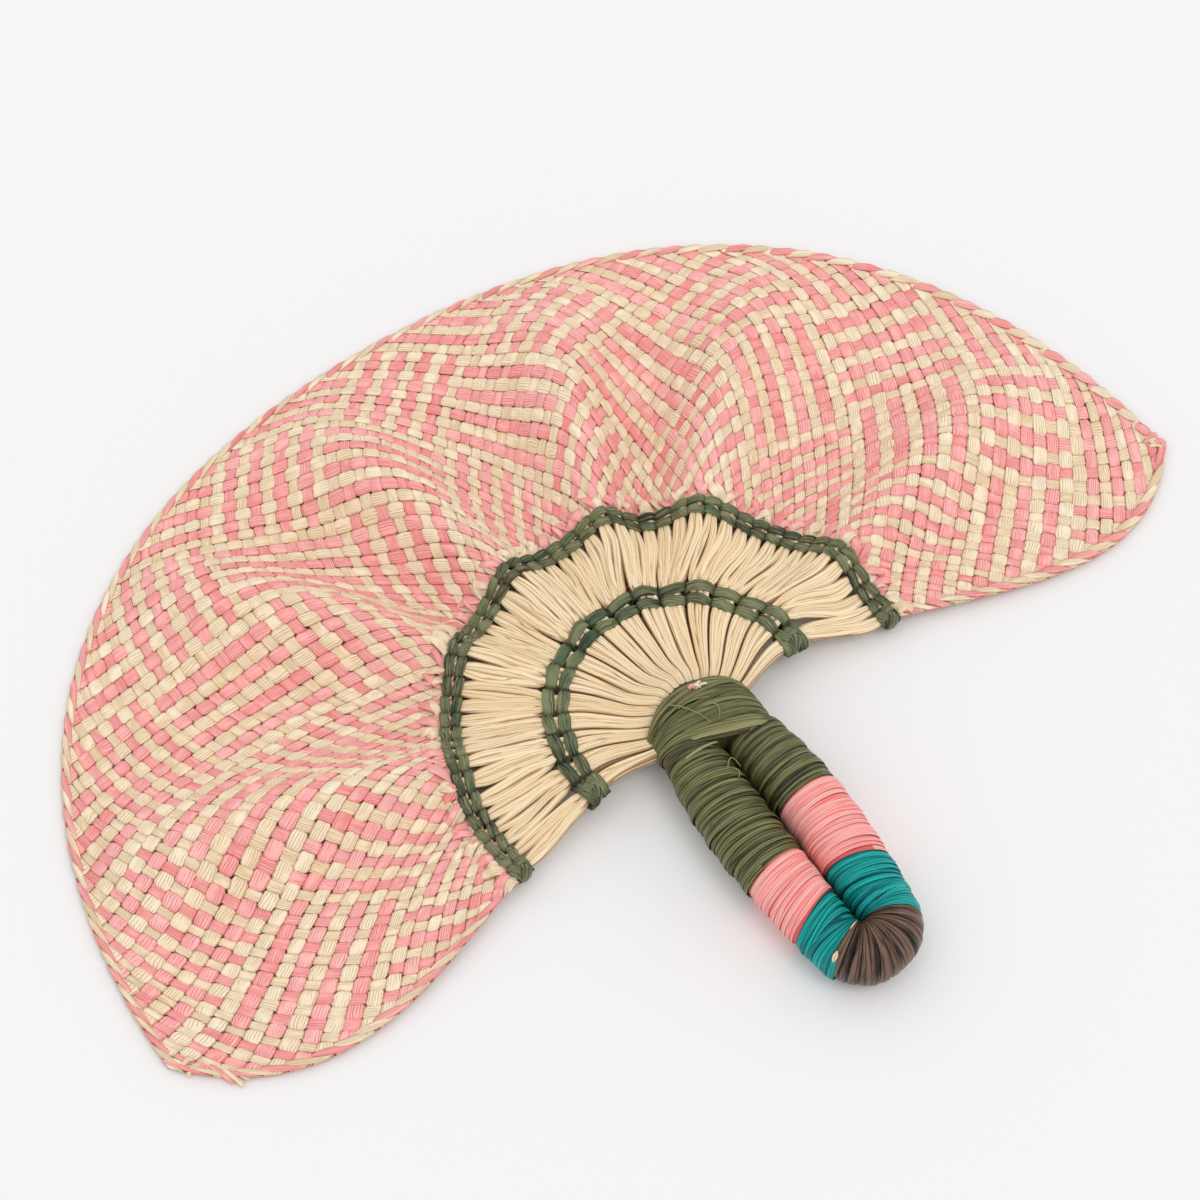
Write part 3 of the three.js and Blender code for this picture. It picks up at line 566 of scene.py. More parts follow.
def left_outer(u):
    """Where it folds: at the rim, or at the left edge."""
    return np.minimum(u + RIM_STEP, LEFT_SUM - u)


def right_inner(v):
    """Where a right-leaning strip starts: at the twined row, or at the left edge."""
    return np.minimum(np.interp(v, row_v, row_u, right=999), LEFT_SUM - v)


def right_outer(v):
    """Where it ends: at the rim, or at the right edge."""
    return np.maximum(v - RIM_STEP, RIGHT_SUM - v)


def over_under(k, leans_left, place_along):
    """A sine that peaks at every second crossing, flattened: +1 is over, -1 is under."""
    sign = (-1 if leans_left else 1) * (-1) ** k
    return np.tanh(DIVE_STEEPNESS * (sign * np.sin(np.pi * place_along) + OVER_BIAS[leans_left]))


print("blocks of strips:", len(U_BLOCKS), "left-leaning,", len(V_BLOCKS), "right-leaning")

# %% [markdown]
# Each strip is a flat, slightly crowned ribbon. The left-leaning strips are wide and soft, so
# they puff up between the right-leaning ones, which are narrower and tighter, with extra painted
# shade. Where a strip passes over it is lifted, and where it passes under it is pressed down. At
# the rim the strip on top folds round the edge to the under side and comes back as one of the other set.

# %% One strip of the plait
STEPS_PER_CROSSING = 8
LEAST_STEPS = 6
LEAST_LENGTH = 0.6
HALF_WIDTH = {True: 0.495, False: 0.41}
WIDTH_SWING = {True: 0.13, False: 0.06}
SIDE_WANDER = 0.035
WANDER_RATE = 0.8
EDGE_CRUMPLE = 0.02
SETTLE_LENGTH = 1.5
FOLD_TUCK = 0.5
FOLD_ROUND = 0.16
END_CLEARANCE = 0.02
EDGE_NEARNESS = 0.05
SECTION_ACROSS = np.array([-1, -0.7, -0.36, 0, 0.36, 0.7, 1, 0.6, 0, -0.6])
SECTION_TOP = np.array([1, 1, 1, 1, 1, 1, 1, -1, -1, -1.0])
SECTION_UV = (SECTION_ACROSS + 1) / 2
rng = np.random.default_rng(7)


def plait_strip(k, leans_left, width, sway):
    """One ribbon in lattice numbers: u, v, the over or under height (-1 to 1) and the run.

    The middle keeps its own count and the count along it grows evenly. Both ends settle on the
    border, and what lies beyond it is mirrored back under the mat.
    """
    inner, outer = (left_inner, left_outer) if leans_left else (right_inner, right_outer)
    far_sum, near_sum = (LEFT_SUM, RIGHT_SUM) if leans_left else (RIGHT_SUM, LEFT_SUM)
    way = 1 if leans_left else -1
    middle = k + 0.5
    start, stop = float(inner(middle)), float(outer(middle))
    length = (stop - start) * way
    if length < LEAST_LENGTH:
        return None
    folds = leans_left or (RIGHT_SUM - middle > middle - RIM_STEP)
    far = length + (FOLD_TUCK if folds else -END_CLEARANCE)
    n = max(int(np.ceil(far * STEPS_PER_CROSSING)) + 1, LEAST_STEPS)
    along = np.linspace(0, far, n)[:, None]
    line = start + way * along
    swing = 1 + WIDTH_SWING[leans_left] * over_under(k, leans_left, line)
    aside = SECTION_ACROSS * HALF_WIDTH[leans_left] * width * swing
    edges = rng.normal(0, EDGE_CRUMPLE, (n, 2))
    aside = aside + edges[:, :1] * np.clip(-SECTION_ACROSS, 0, 1)
    aside = aside + edges[:, 1:] * np.clip(SECTION_ACROSS, 0, 1)
    near_stop = smooth((along - length + SETTLE_LENGTH) / SETTLE_LENGTH)
    near_start = smooth((SETTLE_LENGTH - along) / SETTLE_LENGTH)
    own = middle + aside + SIDE_WANDER * np.sin(along * WANDER_RATE + sway) * (1 - near_stop)
    other = line + near_stop * (outer(own) - stop) + near_start * (inner(own) - start)
    inside = (outer(own) - other) * way
    since = (other - inner(own)) * way
    lift = over_under(k, leans_left, other)
    at_border = np.clip(inside / FOLD_ROUND, -1, 1) if folds else -1
    lift = np.where(inside < 1, at_border, lift)
    at_edge = np.abs((near_sum - own) - inner(own)) < EDGE_NEARNESS
    lift = np.where(at_edge & (since < 1), -1, lift)
    u, v = np.broadcast_arrays(*((own, other) if leans_left else (other, own)))
    at_rim = np.abs(v - u - RIM_STEP) < np.abs(far_sum - u - v)
    u_back = np.where(at_rim, v - RIM_STEP, far_sum - v)
    v_back = np.where(at_rim, u + RIM_STEP, far_sum - u)
    beyond = inside < 0
    return np.where(beyond, u_back, u), np.where(beyond, v_back, v), lift, along


# %% Lay all the strips
STRIP_SPAN = range(-75, 40)
WIDTH_SPREAD = 0.11
ANY_PHASE = 6.28
LEAF_CROWN = {True: 0.46, False: 0.14}
CROWN_FULLNESS = 3.2
CROWN_LEVEL = 0.7
CROWN_SWING = 0.4
# Extra painted shade for the right-leaning strips: their depth is lowered by this much.
EXTRA_UNDER_SHADE = {True: 0.0, False: 0.7}
FLOAT_HEIGHT = 0.29
LEAF_THICKNESS = 0.28
CRUMPLE_HEIGHT = 0.08


def lay_plait(leans_left, pink):
    """All ribbons of one set and colour, lifted off the mat's middle surface along its normal."""
    blocks = U_BLOCKS if leans_left else V_BLOCKS
    halves = {"l": Rings(), "r": Rings()}
    for k in STRIP_SPAN:
        width = 1 + rng.uniform(-WIDTH_SPREAD, WIDTH_SPREAD)
        tone, sway = rng.uniform(0, 1), rng.uniform(0, ANY_PHASE)
        ribbon = plait_strip(k, leans_left, width, sway) if is_pink(k, blocks) == pink else None
        if ribbon is None:
            continue
        u, v, lift, along = ribbon
        s, t = place(u, v)
        s, t = np.minimum(s, 1), np.clip(t, -1, 1)
        crown = LEAF_CROWN[leans_left] * (1 - np.abs(SECTION_ACROSS) ** CROWN_FULLNESS)
        crown = crown * (CROWN_LEVEL + CROWN_SWING * lift)
        rise = FLOAT_HEIGHT * lift + SECTION_TOP * (LEAF_THICKNESS / 2 + crown * (SECTION_TOP > 0))
        rise = rise + CRUMPLE_HEIGHT * rng.normal(0, 1, rise.shape) * (SECTION_TOP > 0)
        rise = np.where(np.abs(SECTION_ACROSS) == 1, FLOAT_HEIGHT * lift, rise)
        points = mat_point(s, t) + mat_normal(s, t) * rise[..., None]
        half = "l" if points[..., 0].mean() < 0 else "r"
        halves[half].add(points, SECTION_UV, along, tone, lift - EXTRA_UNDER_SHADE[leans_left])
    name = f"plait_{'left' if leans_left else 'right'}_leaning_{'pink' if pink else 'natural'}"
    for half, rings in halves.items():
        make_piece(f"{name}_{half}", rings, *MAT_FINISH[pink], ["blade_mat"])


for leans_left in (True, False):
    for pink in (True, False):
        lay_plait(leans_left, pink)

# %% [markdown]
# The strips do not stop at the border: each folds over it at a low angle and tucks in under its
# neighbour, so the border shows a row of slim slivers lapped like roof shingles. A sliver is a
# pointed ribbon, and it is drawn in the same counts: run is the count along the border and
# inside the count in from it.

# %% The folds along the border
BORDER_RUNS = {"rim": np.arange(-43.5, 44), "left": np.arange(-6.5, 9), "right": np.arange(-6.5, 9)}
FOLD_RUN = {"rim": 1.9, "left": 2.1, "right": -2.0}
FOLD_RUN_SPREAD = 0.15
FOLD_INSIDE = 1.05
FOLD_OVERHANG = 0.05
FOLD_HALF = 0.45
FOLD_POINT = 0.03
FOLD_FULLNESS = 0.7
FOLD_LIFT = 1.15
FOLD_SEAT = 0.1
FOLD_RAMP = 0.3
FOLD_CROWN = 0.25
FOLD_DEPTH = 0.2
FOLD_STEPS = np.linspace(0, 1, 13)[:, None]
JUST_PAST = 1.002


def border_counts(border, run, inside):
    """Along the rim v - u is fixed, and along an edge u + v is: inside is taken off each."""
    if border == "rim":
        total, gap = U_START + V_START + 2 * run, RIM_STEP - inside
    else:
        total, gap = (LEFT_SUM - inside if border == "left" else RIGHT_SUM + inside), 2 * run
    return (total - gap) / 2, (total + gap) / 2


def border_fold(border, run):
    """One sliver: half width = sin(pi q) to a power, rising off the edge and diving at its end."""
    q = FOLD_STEPS
    half = FOLD_HALF * np.sin(np.pi * np.clip(q, FOLD_POINT, 1 - FOLD_POINT)) ** FOLD_FULLNESS
    inside = np.maximum(FOLD_INSIDE * q + SECTION_ACROSS * half, -FOLD_OVERHANG)
    u, v = border_counts(border, run + FOLD_RUN[border] * (q - 0.5), inside)
    s, t = place(u, v)
    s, t = np.minimum(s, JUST_PAST), np.clip(t, -JUST_PAST, JUST_PAST)
    rise = FOLD_LIFT * (smooth(q / FOLD_RAMP) - smooth((q - 1 + FOLD_RAMP) / FOLD_RAMP)) - FOLD_SEAT
    crown = FOLD_CROWN * (SECTION_TOP > 0) * (1 - SECTION_ACROSS**2)
    rise = rise + SECTION_TOP * LEAF_THICKNESS / 2 + crown
    return mat_point(s, t) + mat_normal(s, t) * rise[..., None], q * abs(FOLD_RUN[border])


folds = {True: Rings(), False: Rings()}
for border, runs in BORDER_RUNS.items():
    for run in runs:
        u, v = border_counts(border, run, 0.0)
        count, blocks = (u, U_BLOCKS) if border == "rim" else (v, V_BLOCKS)
        points, along = border_fold(border, run + rng.uniform(-FOLD_RUN_SPREAD, FOLD_RUN_SPREAD))
        sliver = folds[is_pink(math.floor(count), blocks)]
        sliver.add(points, SECTION_UV, along, rng.uniform(0, 1), FOLD_DEPTH)
make_pair("border_folds", folds, "blade_mat")

# %% [markdown]
# Seventeen bundles of folded leaf fan out of the neck. Past the inner row each bundle parts
# into fingers that run on to the outer row. A finger is two folded strands, and a strand is a
# lopsided hump carried along the rib. The hump is mirrored by chance and the sharp edges along
# it are kept, so that no two strands catch the light alike.

# %% The ribs
BUNDLE_COUNT = 17
BUNDLE_STEP_ANGLE = 11.6
BUNDLE_MIDDLE_ANGLE = 94.5
FINGER_TOTAL = 49
FINGER_STEP_ANGLE = 4.08
FINGER_MIDDLE_ANGLE = 91.8
LEG_TOP_HEIGHT = 12.8
LEVEL_RADIUS = 26
ROOT_RADIUS = 13.3
ROOT_LENGTH = 29
ROOT_CENTRE_Y = -7
TUCK_RADIUS = 9.5
RIB_END_RADIUS = 90.5
RIB_PLACES = np.concatenate([np.linspace(TUCK_RADIUS, 20, 9), np.linspace(22.5, 42, 9),
                             np.linspace(43, RIB_END_RADIUS, 40)])
FINGER_WIDTHS = ([13, 30, 42, 44, 50, 54, 60, 66, 73, 77, 80, 82, 90.5],
                 [1.6, 2.3, 3.0, 2.5, 2.7, 4.0, 4.9, 5.2, 5.4, 5.0, 4.2, 3.5, 3.8])
FINGER_THICKNESSES = ([12.6, 16, 42, 44, 50, 54, 66, 78, 82, 90.5],
                      [3, 6.6, 5.2, 4.8, 4.8, 4.2, 3.2, 2.8, 2.2, 2.0])
FINGER_ASIDES = ([13, 42, 44, 50, 54], [0.6, 2.45, 2.0, 2.0, 3.1])
FAN_OUT_RADIUS = 49
FAN_OUT_LENGTH = 27
STRANDS_PART_AT = 47
STRANDS_PARTED_AT = 60
STRAND_ASIDE = 0.25
STRAND_NARROWING = 0.42
STRAND_THICKNESS = 0.62
STRAND_THICKENING = 0.26
STRAND_STACKING = 0.7
FREE_FROM = 50
FREE_LENGTH = 32
LOOSE_ASIDE = 0.35
LOOSE_WAVE = 0.2
LOOSE_RATE = 0.16
ROOT_CLIMB = 6.4
ROOT_CLIMB_LENGTH = 13.0
BEHIND_GAIN = 1.6
BEHIND_START = 0.3
FOLD_ACROSS = np.array([-1, -0.86, -0.55, -0.1, 0.32, 0.66, 0.9, 1, 0.6, 0, -0.6])
FOLD_RISE = np.array([0.0, 0.5, 0.84, 1.0, 0.96, 0.78, 0.42, 0.0, -0.75, -0.9, -0.75])
FOLD_UNEVEN = 0.08
SHARP_FOLD_ANGLE = 35


def unit(v):
    """A direction of length one."""
    return v / np.linalg.norm(v, axis=-1, keepdims=True)


def rib_height(r, angle):
    """Level near the neck, then a soft step to the wave at the mat's inner edge."""
    far = smooth((r - LEVEL_RADIUS) / (MAT_INNER_RADIUS - LEVEL_RADIUS))
    return LEG_TOP_HEIGHT + far * (mat_height(np.zeros_like(angle), angle) - LEG_TOP_HEIGHT)


def bundle_angle(k):
    """The plan angle of a bundle: even steps, counted from the left."""
    return BUNDLE_MIDDLE_ANGLE - (k - (BUNDLE_COUNT - 1) / 2) * BUNDLE_STEP_ANGLE


def finger_angle(j):
    """The plan angle of a finger at the outer row, counted the same way."""
    return FINGER_MIDDLE_ANGLE - (j - (FINGER_TOTAL - 1) / 2) * FINGER_STEP_ANGLE


def finger_strand(k, j, place_in_bundle, strand):
    """A folded section carried from the neck, past the inner row, to the outer row.

    The two strands of a finger lie on each other near the neck and side by side further out.
    At the back of the neck the upper one climbs, to go in under the arch of the neck wrap.
    """
    r = RIB_PLACES
    parted = smooth((r - STRANDS_PART_AT) / (STRANDS_PARTED_AT - STRANDS_PART_AT))
    full = np.interp(r, *FINGER_WIDTHS) * rng.uniform(0.95, 1.06)
    away = np.interp(r, *FINGER_ASIDES) * place_in_bundle
    start = bundle_angle(k) - np.degrees(away / r)
    angle = start + smooth((r - FAN_OUT_RADIUS) / FAN_OUT_LENGTH) * (finger_angle(j) - start)
    a = np.radians(angle)
    root = smooth((r - ROOT_RADIUS) / ROOT_LENGTH)
    middle = np.stack([r * np.cos(a), r * np.sin(a) + (1 - root) * ROOT_CENTRE_Y,
                       rib_height(r, angle)], -1)
    slope = (rib_height(r, angle - 1) - rib_height(r, angle + 1)) / (r * math.radians(2))
    side = np.stack([np.sin(a), -np.cos(a), slope], -1)
    up = unit(np.stack([-slope * np.sin(a), slope * np.cos(a), np.ones_like(a)], -1))
    free = np.sin(np.pi * np.clip((r - FREE_FROM) / FREE_LENGTH, 0, 1))
    drift, phase = rng.uniform(-LOOSE_ASIDE, LOOSE_ASIDE), rng.uniform(0, ANY_PHASE)
    loose = free * (drift + LOOSE_WAVE * np.sin(r * LOOSE_RATE + phase))
    aside = strand * STRAND_ASIDE * full * parted + loose
    half = full / 2 * (1 - STRAND_NARROWING * parted)
    thick = np.interp(r, *FINGER_THICKNESSES) / 2 * (STRAND_THICKNESS + STRAND_THICKENING * parted)
    stack = strand * STRAND_STACKING * (1 - parted) * thick + free * rng.uniform(-0.3, 0.5)
    behind = np.clip(BEHIND_GAIN * np.sin(a) - BEHIND_START, 0, 1)
    climb = ROOT_CLIMB * behind * (1 - smooth((r - ROOT_RADIUS) / ROOT_CLIMB_LENGTH))
    stack = stack + climb * (strand > 0)
    fold = FOLD_RISE + rng.uniform(-FOLD_UNEVEN, FOLD_UNEVEN, FOLD_RISE.shape)
    mirror = rng.choice([-1, 1])
    across = half[:, None] * FOLD_ACROSS * mirror + aside[:, None]
    rise = thick[:, None] * fold + stack[:, None]
    points = middle[:, None, :] + side[:, None, :] * across[..., None] + up[:, None, :] * rise[..., None]
    return points, (FOLD_ACROSS + 1) / 2, (r / 6)[:, None], fold


first_finger = 0
for k in range(BUNDLE_COUNT):
    count = 2 if k in (0, BUNDLE_COUNT - 1) else 3
    bundle = Rings()
    for i in range(count):
        for strand in (-1, 1):
            points, across, along, fold = finger_strand(k, first_finger + i, i - (count - 1) / 2, strand)
            # Depth follows the fold's height, so the low flanks and the underside of each strand get
            # painted shade.
            bundle.add(points, across, along, rng.uniform(0, 1), 0.4 * fold + 0.2)
    first_finger += count
    make_piece(f"rib_strips_{k + 1:02d}", bundle, RIB, "rib_leaf", [f"rib_{k + 1:02d}"], SHARP_FOLD_ANGLE)

# %% [markdown]
# Two rows of dark green twine hold the ribs. Each row is a pair of lines, and each line is two
# strands that take turns to pass over and under the ribs and cross between them. A stitch
# leans a little, so the strand swings outwards while it is on top and back while it is below.
# The real stitch is a few thin turns side by side, so grooves run along the strand.

# %% The twined rows
INNER_ROW_RADIUS = 47
STITCH_STEPS = 10
STITCH_SLANT = 0.35
STITCH_PINCH = 0.74
STITCH_FLATNESS = 0.35
STITCH_CLEARANCE = 0.35
STITCH_HALF_THICKNESS = 0.85
STITCH_SQUARENESS = 0.75
STITCH_GROOVE = 0.7
LINE_SPREAD = 0.59
GOLDEN_ANGLE = 2.4
OVAL = np.linspace(0, 2 * np.pi, 10, endpoint=False)
STITCH_SECTION = np.linspace(0, 2 * np.pi, 26, endpoint=False)


def sweep(path, side, up, half_width, half_thickness, sharp=0.8, section=OVAL, groove=0.0):
    """A flattened oval carried along a path, with two grooves along it where that is asked."""
    cos, sin = np.cos(section), np.sin(section)
    x = np.sign(cos) * np.abs(cos) ** sharp
    z = np.sign(sin) * np.abs(sin) ** sharp * (1 - groove * (0.5 - 0.5 * np.cos(3 * np.pi * x)) ** 2)
    return (path[:, None, :] + side[:, None, :] * (np.multiply.outer(half_width, x))[..., None]
            + up[:, None, :] * (np.multiply.outer(half_thickness, z))[..., None])


def twine_line(rings, radius, angles, thickness, parity, slant, width, phase):
    """Lift = cos and lean = sin of the count along the ribs, so the strand weaves and slants."""
    m = np.linspace(-0.5, len(angles) - 0.5, len(angles) * STITCH_STEPS + 1)
    angle = np.interp(m, np.arange(len(angles)), angles)
    beyond = np.where(m < 0, m, np.where(m > len(angles) - 1, m - len(angles) + 1, 0))
    angle = angle + beyond * (angles[1] - angles[0])
    turn = parity * np.cos(np.pi * m)
    lift = np.sign(turn) * np.abs(turn) ** STITCH_FLATNESS
    r = radius + slant * parity * np.sin(np.pi * m)
    a = np.radians(angle)
    z = rib_height(r, angle) + lift * (thickness / 2 + STITCH_CLEARANCE)
    path = np.stack([r * np.cos(a), r * np.sin(a), z], -1)
    along = unit(np.gradient(path, axis=0))
    out = np.stack([np.cos(a), np.sin(a), np.zeros_like(a)], -1)
    up = unit(np.cross(along, out))
    up = up * np.sign(up[:, 2:3])
    side = unit(np.cross(up, along))
    flat = STITCH_PINCH + (1 - STITCH_PINCH) * np.clip(lift, 0, 1)
    points = sweep(path, side, up, width / 2 * flat, np.full(len(m), STITCH_HALF_THICKNESS),
                   STITCH_SQUARENESS, STITCH_SECTION, STITCH_GROOVE)
    tone = 0.5 + 0.5 * np.sin(np.round(m) * GOLDEN_ANGLE + phase)
    # Depth follows the lift, so the strand gets painted shade where it passes under the ribs.
    rings.add(points, (np.cos(STITCH_SECTION) + 1) / 2, m[:, None] * 2, tone[:, None], lift[:, None])


def twined_row(name, radius, angles, thickness, width):
    """Strand a passes over every second rib and strand b over the others, on both lines."""
    for strand, parity in (("a", 1), ("b", -1)):
        rings = Rings()
        for line in (-1, 1):
            twine_line(rings, radius + line * width * LINE_SPREAD, angles, thickness, parity,
                       line * STITCH_SLANT, width, rng.uniform(0, ANY_PHASE))
        make_piece(f"{name}_strand_{strand}", rings, TWINE, "twine_green", [f"{name}_{strand}"])


bundle_angles = bundle_angle(np.arange(BUNDLE_COUNT))
finger_angles = finger_angle(np.arange(FINGER_TOTAL))
twined_row("inner_twine", INNER_ROW_RADIUS, bundle_angles, thickness=5.6, width=4.6)
twined_row("outer_twine", ROW_RADIUS, finger_angles, thickness=2.8, width=3.6)

# %% [markdown]
# Each row ends in a small lumpy knot. A trefoil, the simplest curve that is truly knotted, is
# carried round the last rib in the space of the CAD knot.

# %% The end knots
KNOT_LEAST = np.array([4.6, 4.6, 3.6])
KNOT_STEPS = 97
KNOT_STRAND = {"inner": 2.2, "outer": 1.8}
KNOT_SQUEEZE = 0.9
KNOT_LEAST_PATH = 0.4
KNOT_WIDENING = 1.25
KNOT_FLATTENING = 0.8


def trefoil(count):
    """x = sin a + 2 sin 2a, y = cos a - 2 cos 2a, z = -sin 3a, scaled to a unit box."""
    a = np.linspace(0, 2 * np.pi, count)
    path = np.stack([np.sin(a) + 2 * np.sin(2 * a), np.cos(a) - 2 * np.cos(2 * a), -np.sin(3 * a)], -1)
    return path / np.array([3, 3, 1])


def knot(name, node, radius):
    """A tube along a trefoil in the node's box, not smaller than the least half sizes."""
    lo, hi = (np.array(c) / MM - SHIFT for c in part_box(node))
    middle, half = (lo + hi) / 2, np.maximum((hi - lo) / 2, KNOT_LEAST)
    path = middle + trefoil(KNOT_STEPS) * np.maximum(half - radius * KNOT_SQUEEZE, KNOT_LEAST_PATH)
    along = unit(np.gradient(path, axis=0))
    along[0] = along[-1] = unit(along[0] + along[-1])
    outward = unit(path - middle)
    side = unit(np.cross(along, outward))
    up = np.cross(side, along)
    points = sweep(path, side, up, np.full(KNOT_STEPS, radius * KNOT_WIDENING),
                   np.full(KNOT_STEPS, radius * KNOT_FLATTENING))
    rings = Rings()
    # Depth follows the height round the section, so the underside of the tube gets painted shade.
    rings.add(points, (np.cos(OVAL) + 1) / 2, np.linspace(0, 12, KNOT_STEPS)[:, None], 0.5, np.sin(OVAL))
    make_piece(name, rings, TWINE, "twine_green", [node])


for row, strand_radius in KNOT_STRAND.items():
    for end in ("left", "right"):
        knot(f"{row}_knot_{end}", f"{row}_twine_knot_{end}", strand_radius)

# %% [markdown]
# The handle is a bundle of leaf doubled back into a loop and wound with dyed strips. The leaf
# core stays as the CAD made it, since the strips hide nearly all of it. It only gets a finish:
# fine noise between two dark dull browns, painted shade for the fork between the legs, where a
# little of the core shows.

# %% The handle's leaf core
core_shade_wiring = Wiring("core_leaf")
core_noise = core_shade_wiring.node("ShaderNodeTexNoise")
core_noise.inputs["Scale"].default_value = 900
core_shade_wiring.wire(core_shade_wiring.node("ShaderNodeTexCoord").outputs["Object"], core_noise.inputs["Vector"])
core_shade_ramp = core_shade_wiring.node("ShaderNodeValToRGB")
# Dark olive browns: painted shade for the core where it shows in the shaded fork.
core_shade_ramp.color_ramp.elements[0].color = srgb(44, 40, 26)
core_shade_ramp.color_ramp.elements[1].color = srgb(92, 80, 52)
core_shade_wiring.wire(core_noise.outputs["Fac"], core_shade_ramp.inputs["Fac"])
core_shade_wiring.wire(core_shade_ramp.outputs["Color"], core_shade_wiring.shader["Base Color"])
core_shade_wiring.shader["Roughness"].default_value = 0.7
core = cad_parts["handle_core"]
core.data.materials.clear()
core.data.materials.append(core_shade_wiring.material)
print("leaf core stays as CAD")

# %% [markdown]
# A winding is a flat strip carried round a leg as a helix, each turn lapping over the edge of
# the one before. No hand winds evenly, so the turns wobble and each has a tone of its own. A
# plain tube in the same dye lies under them and closes the gaps.

# %% The shape of a leg
HANDLE_LEAN = math.radians(-2.2)
LEG_START_Y = -18
BEND_Y = -101.5
LEG_END_RADIUS = 10.2
LEG_SWELL = 2.1
LEG_SWELL_PLACE = 0.8
LEG_LIFT = 0.5
LEVEL_TOP_SHARE = 0.42
SLIT_AT_NECK = 0.7
SLIT_AT_BEND = 1.6
SLIT_SWELL = 0.6
STRAP_ACROSS = np.array([-1, -0.6, 0, 0.6, 1, 0.5, -0.5])
STRAP_RISE = np.array([0.05, 0.45, 0.6, 0.48, 0.1, -0.1, -0.1])
STRAP_UV = (STRAP_ACROSS + 1) / 2
# Depth follows the height in the section, so the low edges and the underside of a strap get painted shade.
STRAP_DEPTH = 0.2 + 0.6 * STRAP_RISE[None, :]
FULL_TURN = 2 * np.pi


def leg(y):
    """Radius, spacing and height of a leg: a cylinder that swells in the middle."""
    q = np.clip((LEG_START_Y - y) / (LEG_START_Y - BEND_Y), 0, 1)
    radius = LEG_END_RADIUS + LEG_SWELL * np.sin(np.pi * q**LEG_SWELL_PLACE)
    gap = SLIT_AT_NECK + (SLIT_AT_BEND - SLIT_AT_NECK) * q + SLIT_SWELL * np.sin(np.pi * q) ** 2
    thickest = np.where(q < LEVEL_TOP_SHARE, LEG_END_RADIUS + LEG_SWELL, radius)
    return radius, radius + gap / 2, thickest + LEG_LIFT


def lean(points):
    """Turns the handle a little about the neck, as the CAD does."""
    c, s = math.cos(HANDLE_LEAN), math.sin(HANDLE_LEAN)
    x, y = points[..., 0], points[..., 1] - ROOT_CENTRE_Y
    return np.stack([c * x - s * y, s * x + c * y + ROOT_CENTRE_Y, points[..., 2]], -1)


def wobble(a, phase):
    """Slow and quick waves added together, so that no two turns lie alike."""
    return (0.34 * np.sin(a * 0.37 + phase) + 0.30 * np.sin(a * 0.71 + 2 * phase)
            + 0.22 * np.sin(a * 1.31 + 3 * phase) + 0.12 * np.sin(a * 2.17 + phase))


def turn_tone(a, phase):
    """Each turn gets its own tone: a stepped value that changes under the handle."""
    count = np.floor(a / FULL_TURN + 0.25)
    return (0.5 + 0.5 * np.sin(count * GOLDEN_ANGLE + phase * 4.1))[:, None] * np.ones_like(STRAP_ACROSS)


bend_radius, bend_aside, bend_height = (float(x) for x in leg(np.array(BEND_Y)))
print("leg radius at the bend in mm:", round(bend_radius, 2))

# %% Winding a leg
TURN_PITCH = 1.75
WIND_WIDTH = 2.9
WIND_CLEAR = 1.1
WIND_STEPS = 40
WIND_SETTLE = 4
WIND_SINK = 0.5
LAP_TILT = 0.42
LAP_SWING = 0.3
LAP_RATE = 0.83
SLEEVE_DEPTH = 0.45
SLEEVE_STEP = 1.5
SLEEVE_ROUND = np.linspace(0, FULL_TURN, 40, endpoint=False)
SLEEVE_SHADE = -0.6


def sleeve_leg(rings, side, from_y, to_y, slant):
    """The first layer under a winding: a tube in the same dye that closes the gaps."""
    y = np.linspace(from_y, to_y, int((from_y - to_y) / SLEEVE_STEP) + 2)
    radius, aside, height = leg(y)
    r = (radius - SLEEVE_DEPTH)[:, None]
    x = side * (aside[:, None] + r * np.cos(SLEEVE_ROUND))
    z = height[:, None] + r * np.sin(SLEEVE_ROUND)
    slanted = y[:, None] + np.interp(-y, *slant)[:, None] * r * np.cos(SLEEVE_ROUND) * side
    points = lean(np.stack([x, slanted, z], -1))
    rings.add(points, y[:, None] / 3, SLEEVE_ROUND * 2, 0.5, SLEEVE_SHADE)


def wind_leg(rings, side, from_y, to_y, slant, rough):
    """A helix on the leg: the place along falls by one pitch each turn, and turns are slanted."""
    from_y, to_y = from_y - WIND_CLEAR, to_y + WIND_CLEAR
    turns = (from_y - to_y) / TURN_PITCH
    a = np.linspace(0, FULL_TURN * turns, int(turns * WIND_STEPS))
    y = from_y - TURN_PITCH * a / FULL_TURN
    radius, aside, height = leg(y)
    settle = np.minimum(1, np.minimum(from_y - y, y - to_y) / WIND_SETTLE)
    y = y + settle * rough * wobble(a, from_y) + np.interp(-y, *slant) * radius * np.cos(a) * side
    lap = rough * (-LAP_TILT * STRAP_ACROSS + LAP_SWING * np.sin(a * LAP_RATE + from_y)[:, None])
    r = (radius - WIND_SINK)[:, None] + STRAP_RISE + lap
    across_y = y[:, None] + STRAP_ACROSS * WIND_WIDTH / 2
    x = side * (aside[:, None] + r * np.cos(a)[:, None])
    z = height[:, None] + r * np.sin(a)[:, None]
    points = lean(np.stack([x, across_y, z], -1))
    rings.add(points, STRAP_UV, (a * radius / 6)[:, None], turn_tone(a, from_y), STRAP_DEPTH)


# %% [markdown]
# Round the bend the same strip is pinched on the inside and spread on the outside, like the
# slices of a cake. Its place is an angle about the bend instead of a length along a leg.

# %% Winding the bend
BEND_EXTRA = 0.9
BEND_SINK = 0.35
BEND_SETTLE = 6
BEND_WOBBLE = 0.3
BEND_LEAST_REACH = {"winding": 0.25, "sleeve": 0.3}
BEND_LEAST_HEIGHT = {"winding": 0.1, "sleeve": 0.2}
SLEEVE_STEP_ANGLE = 4


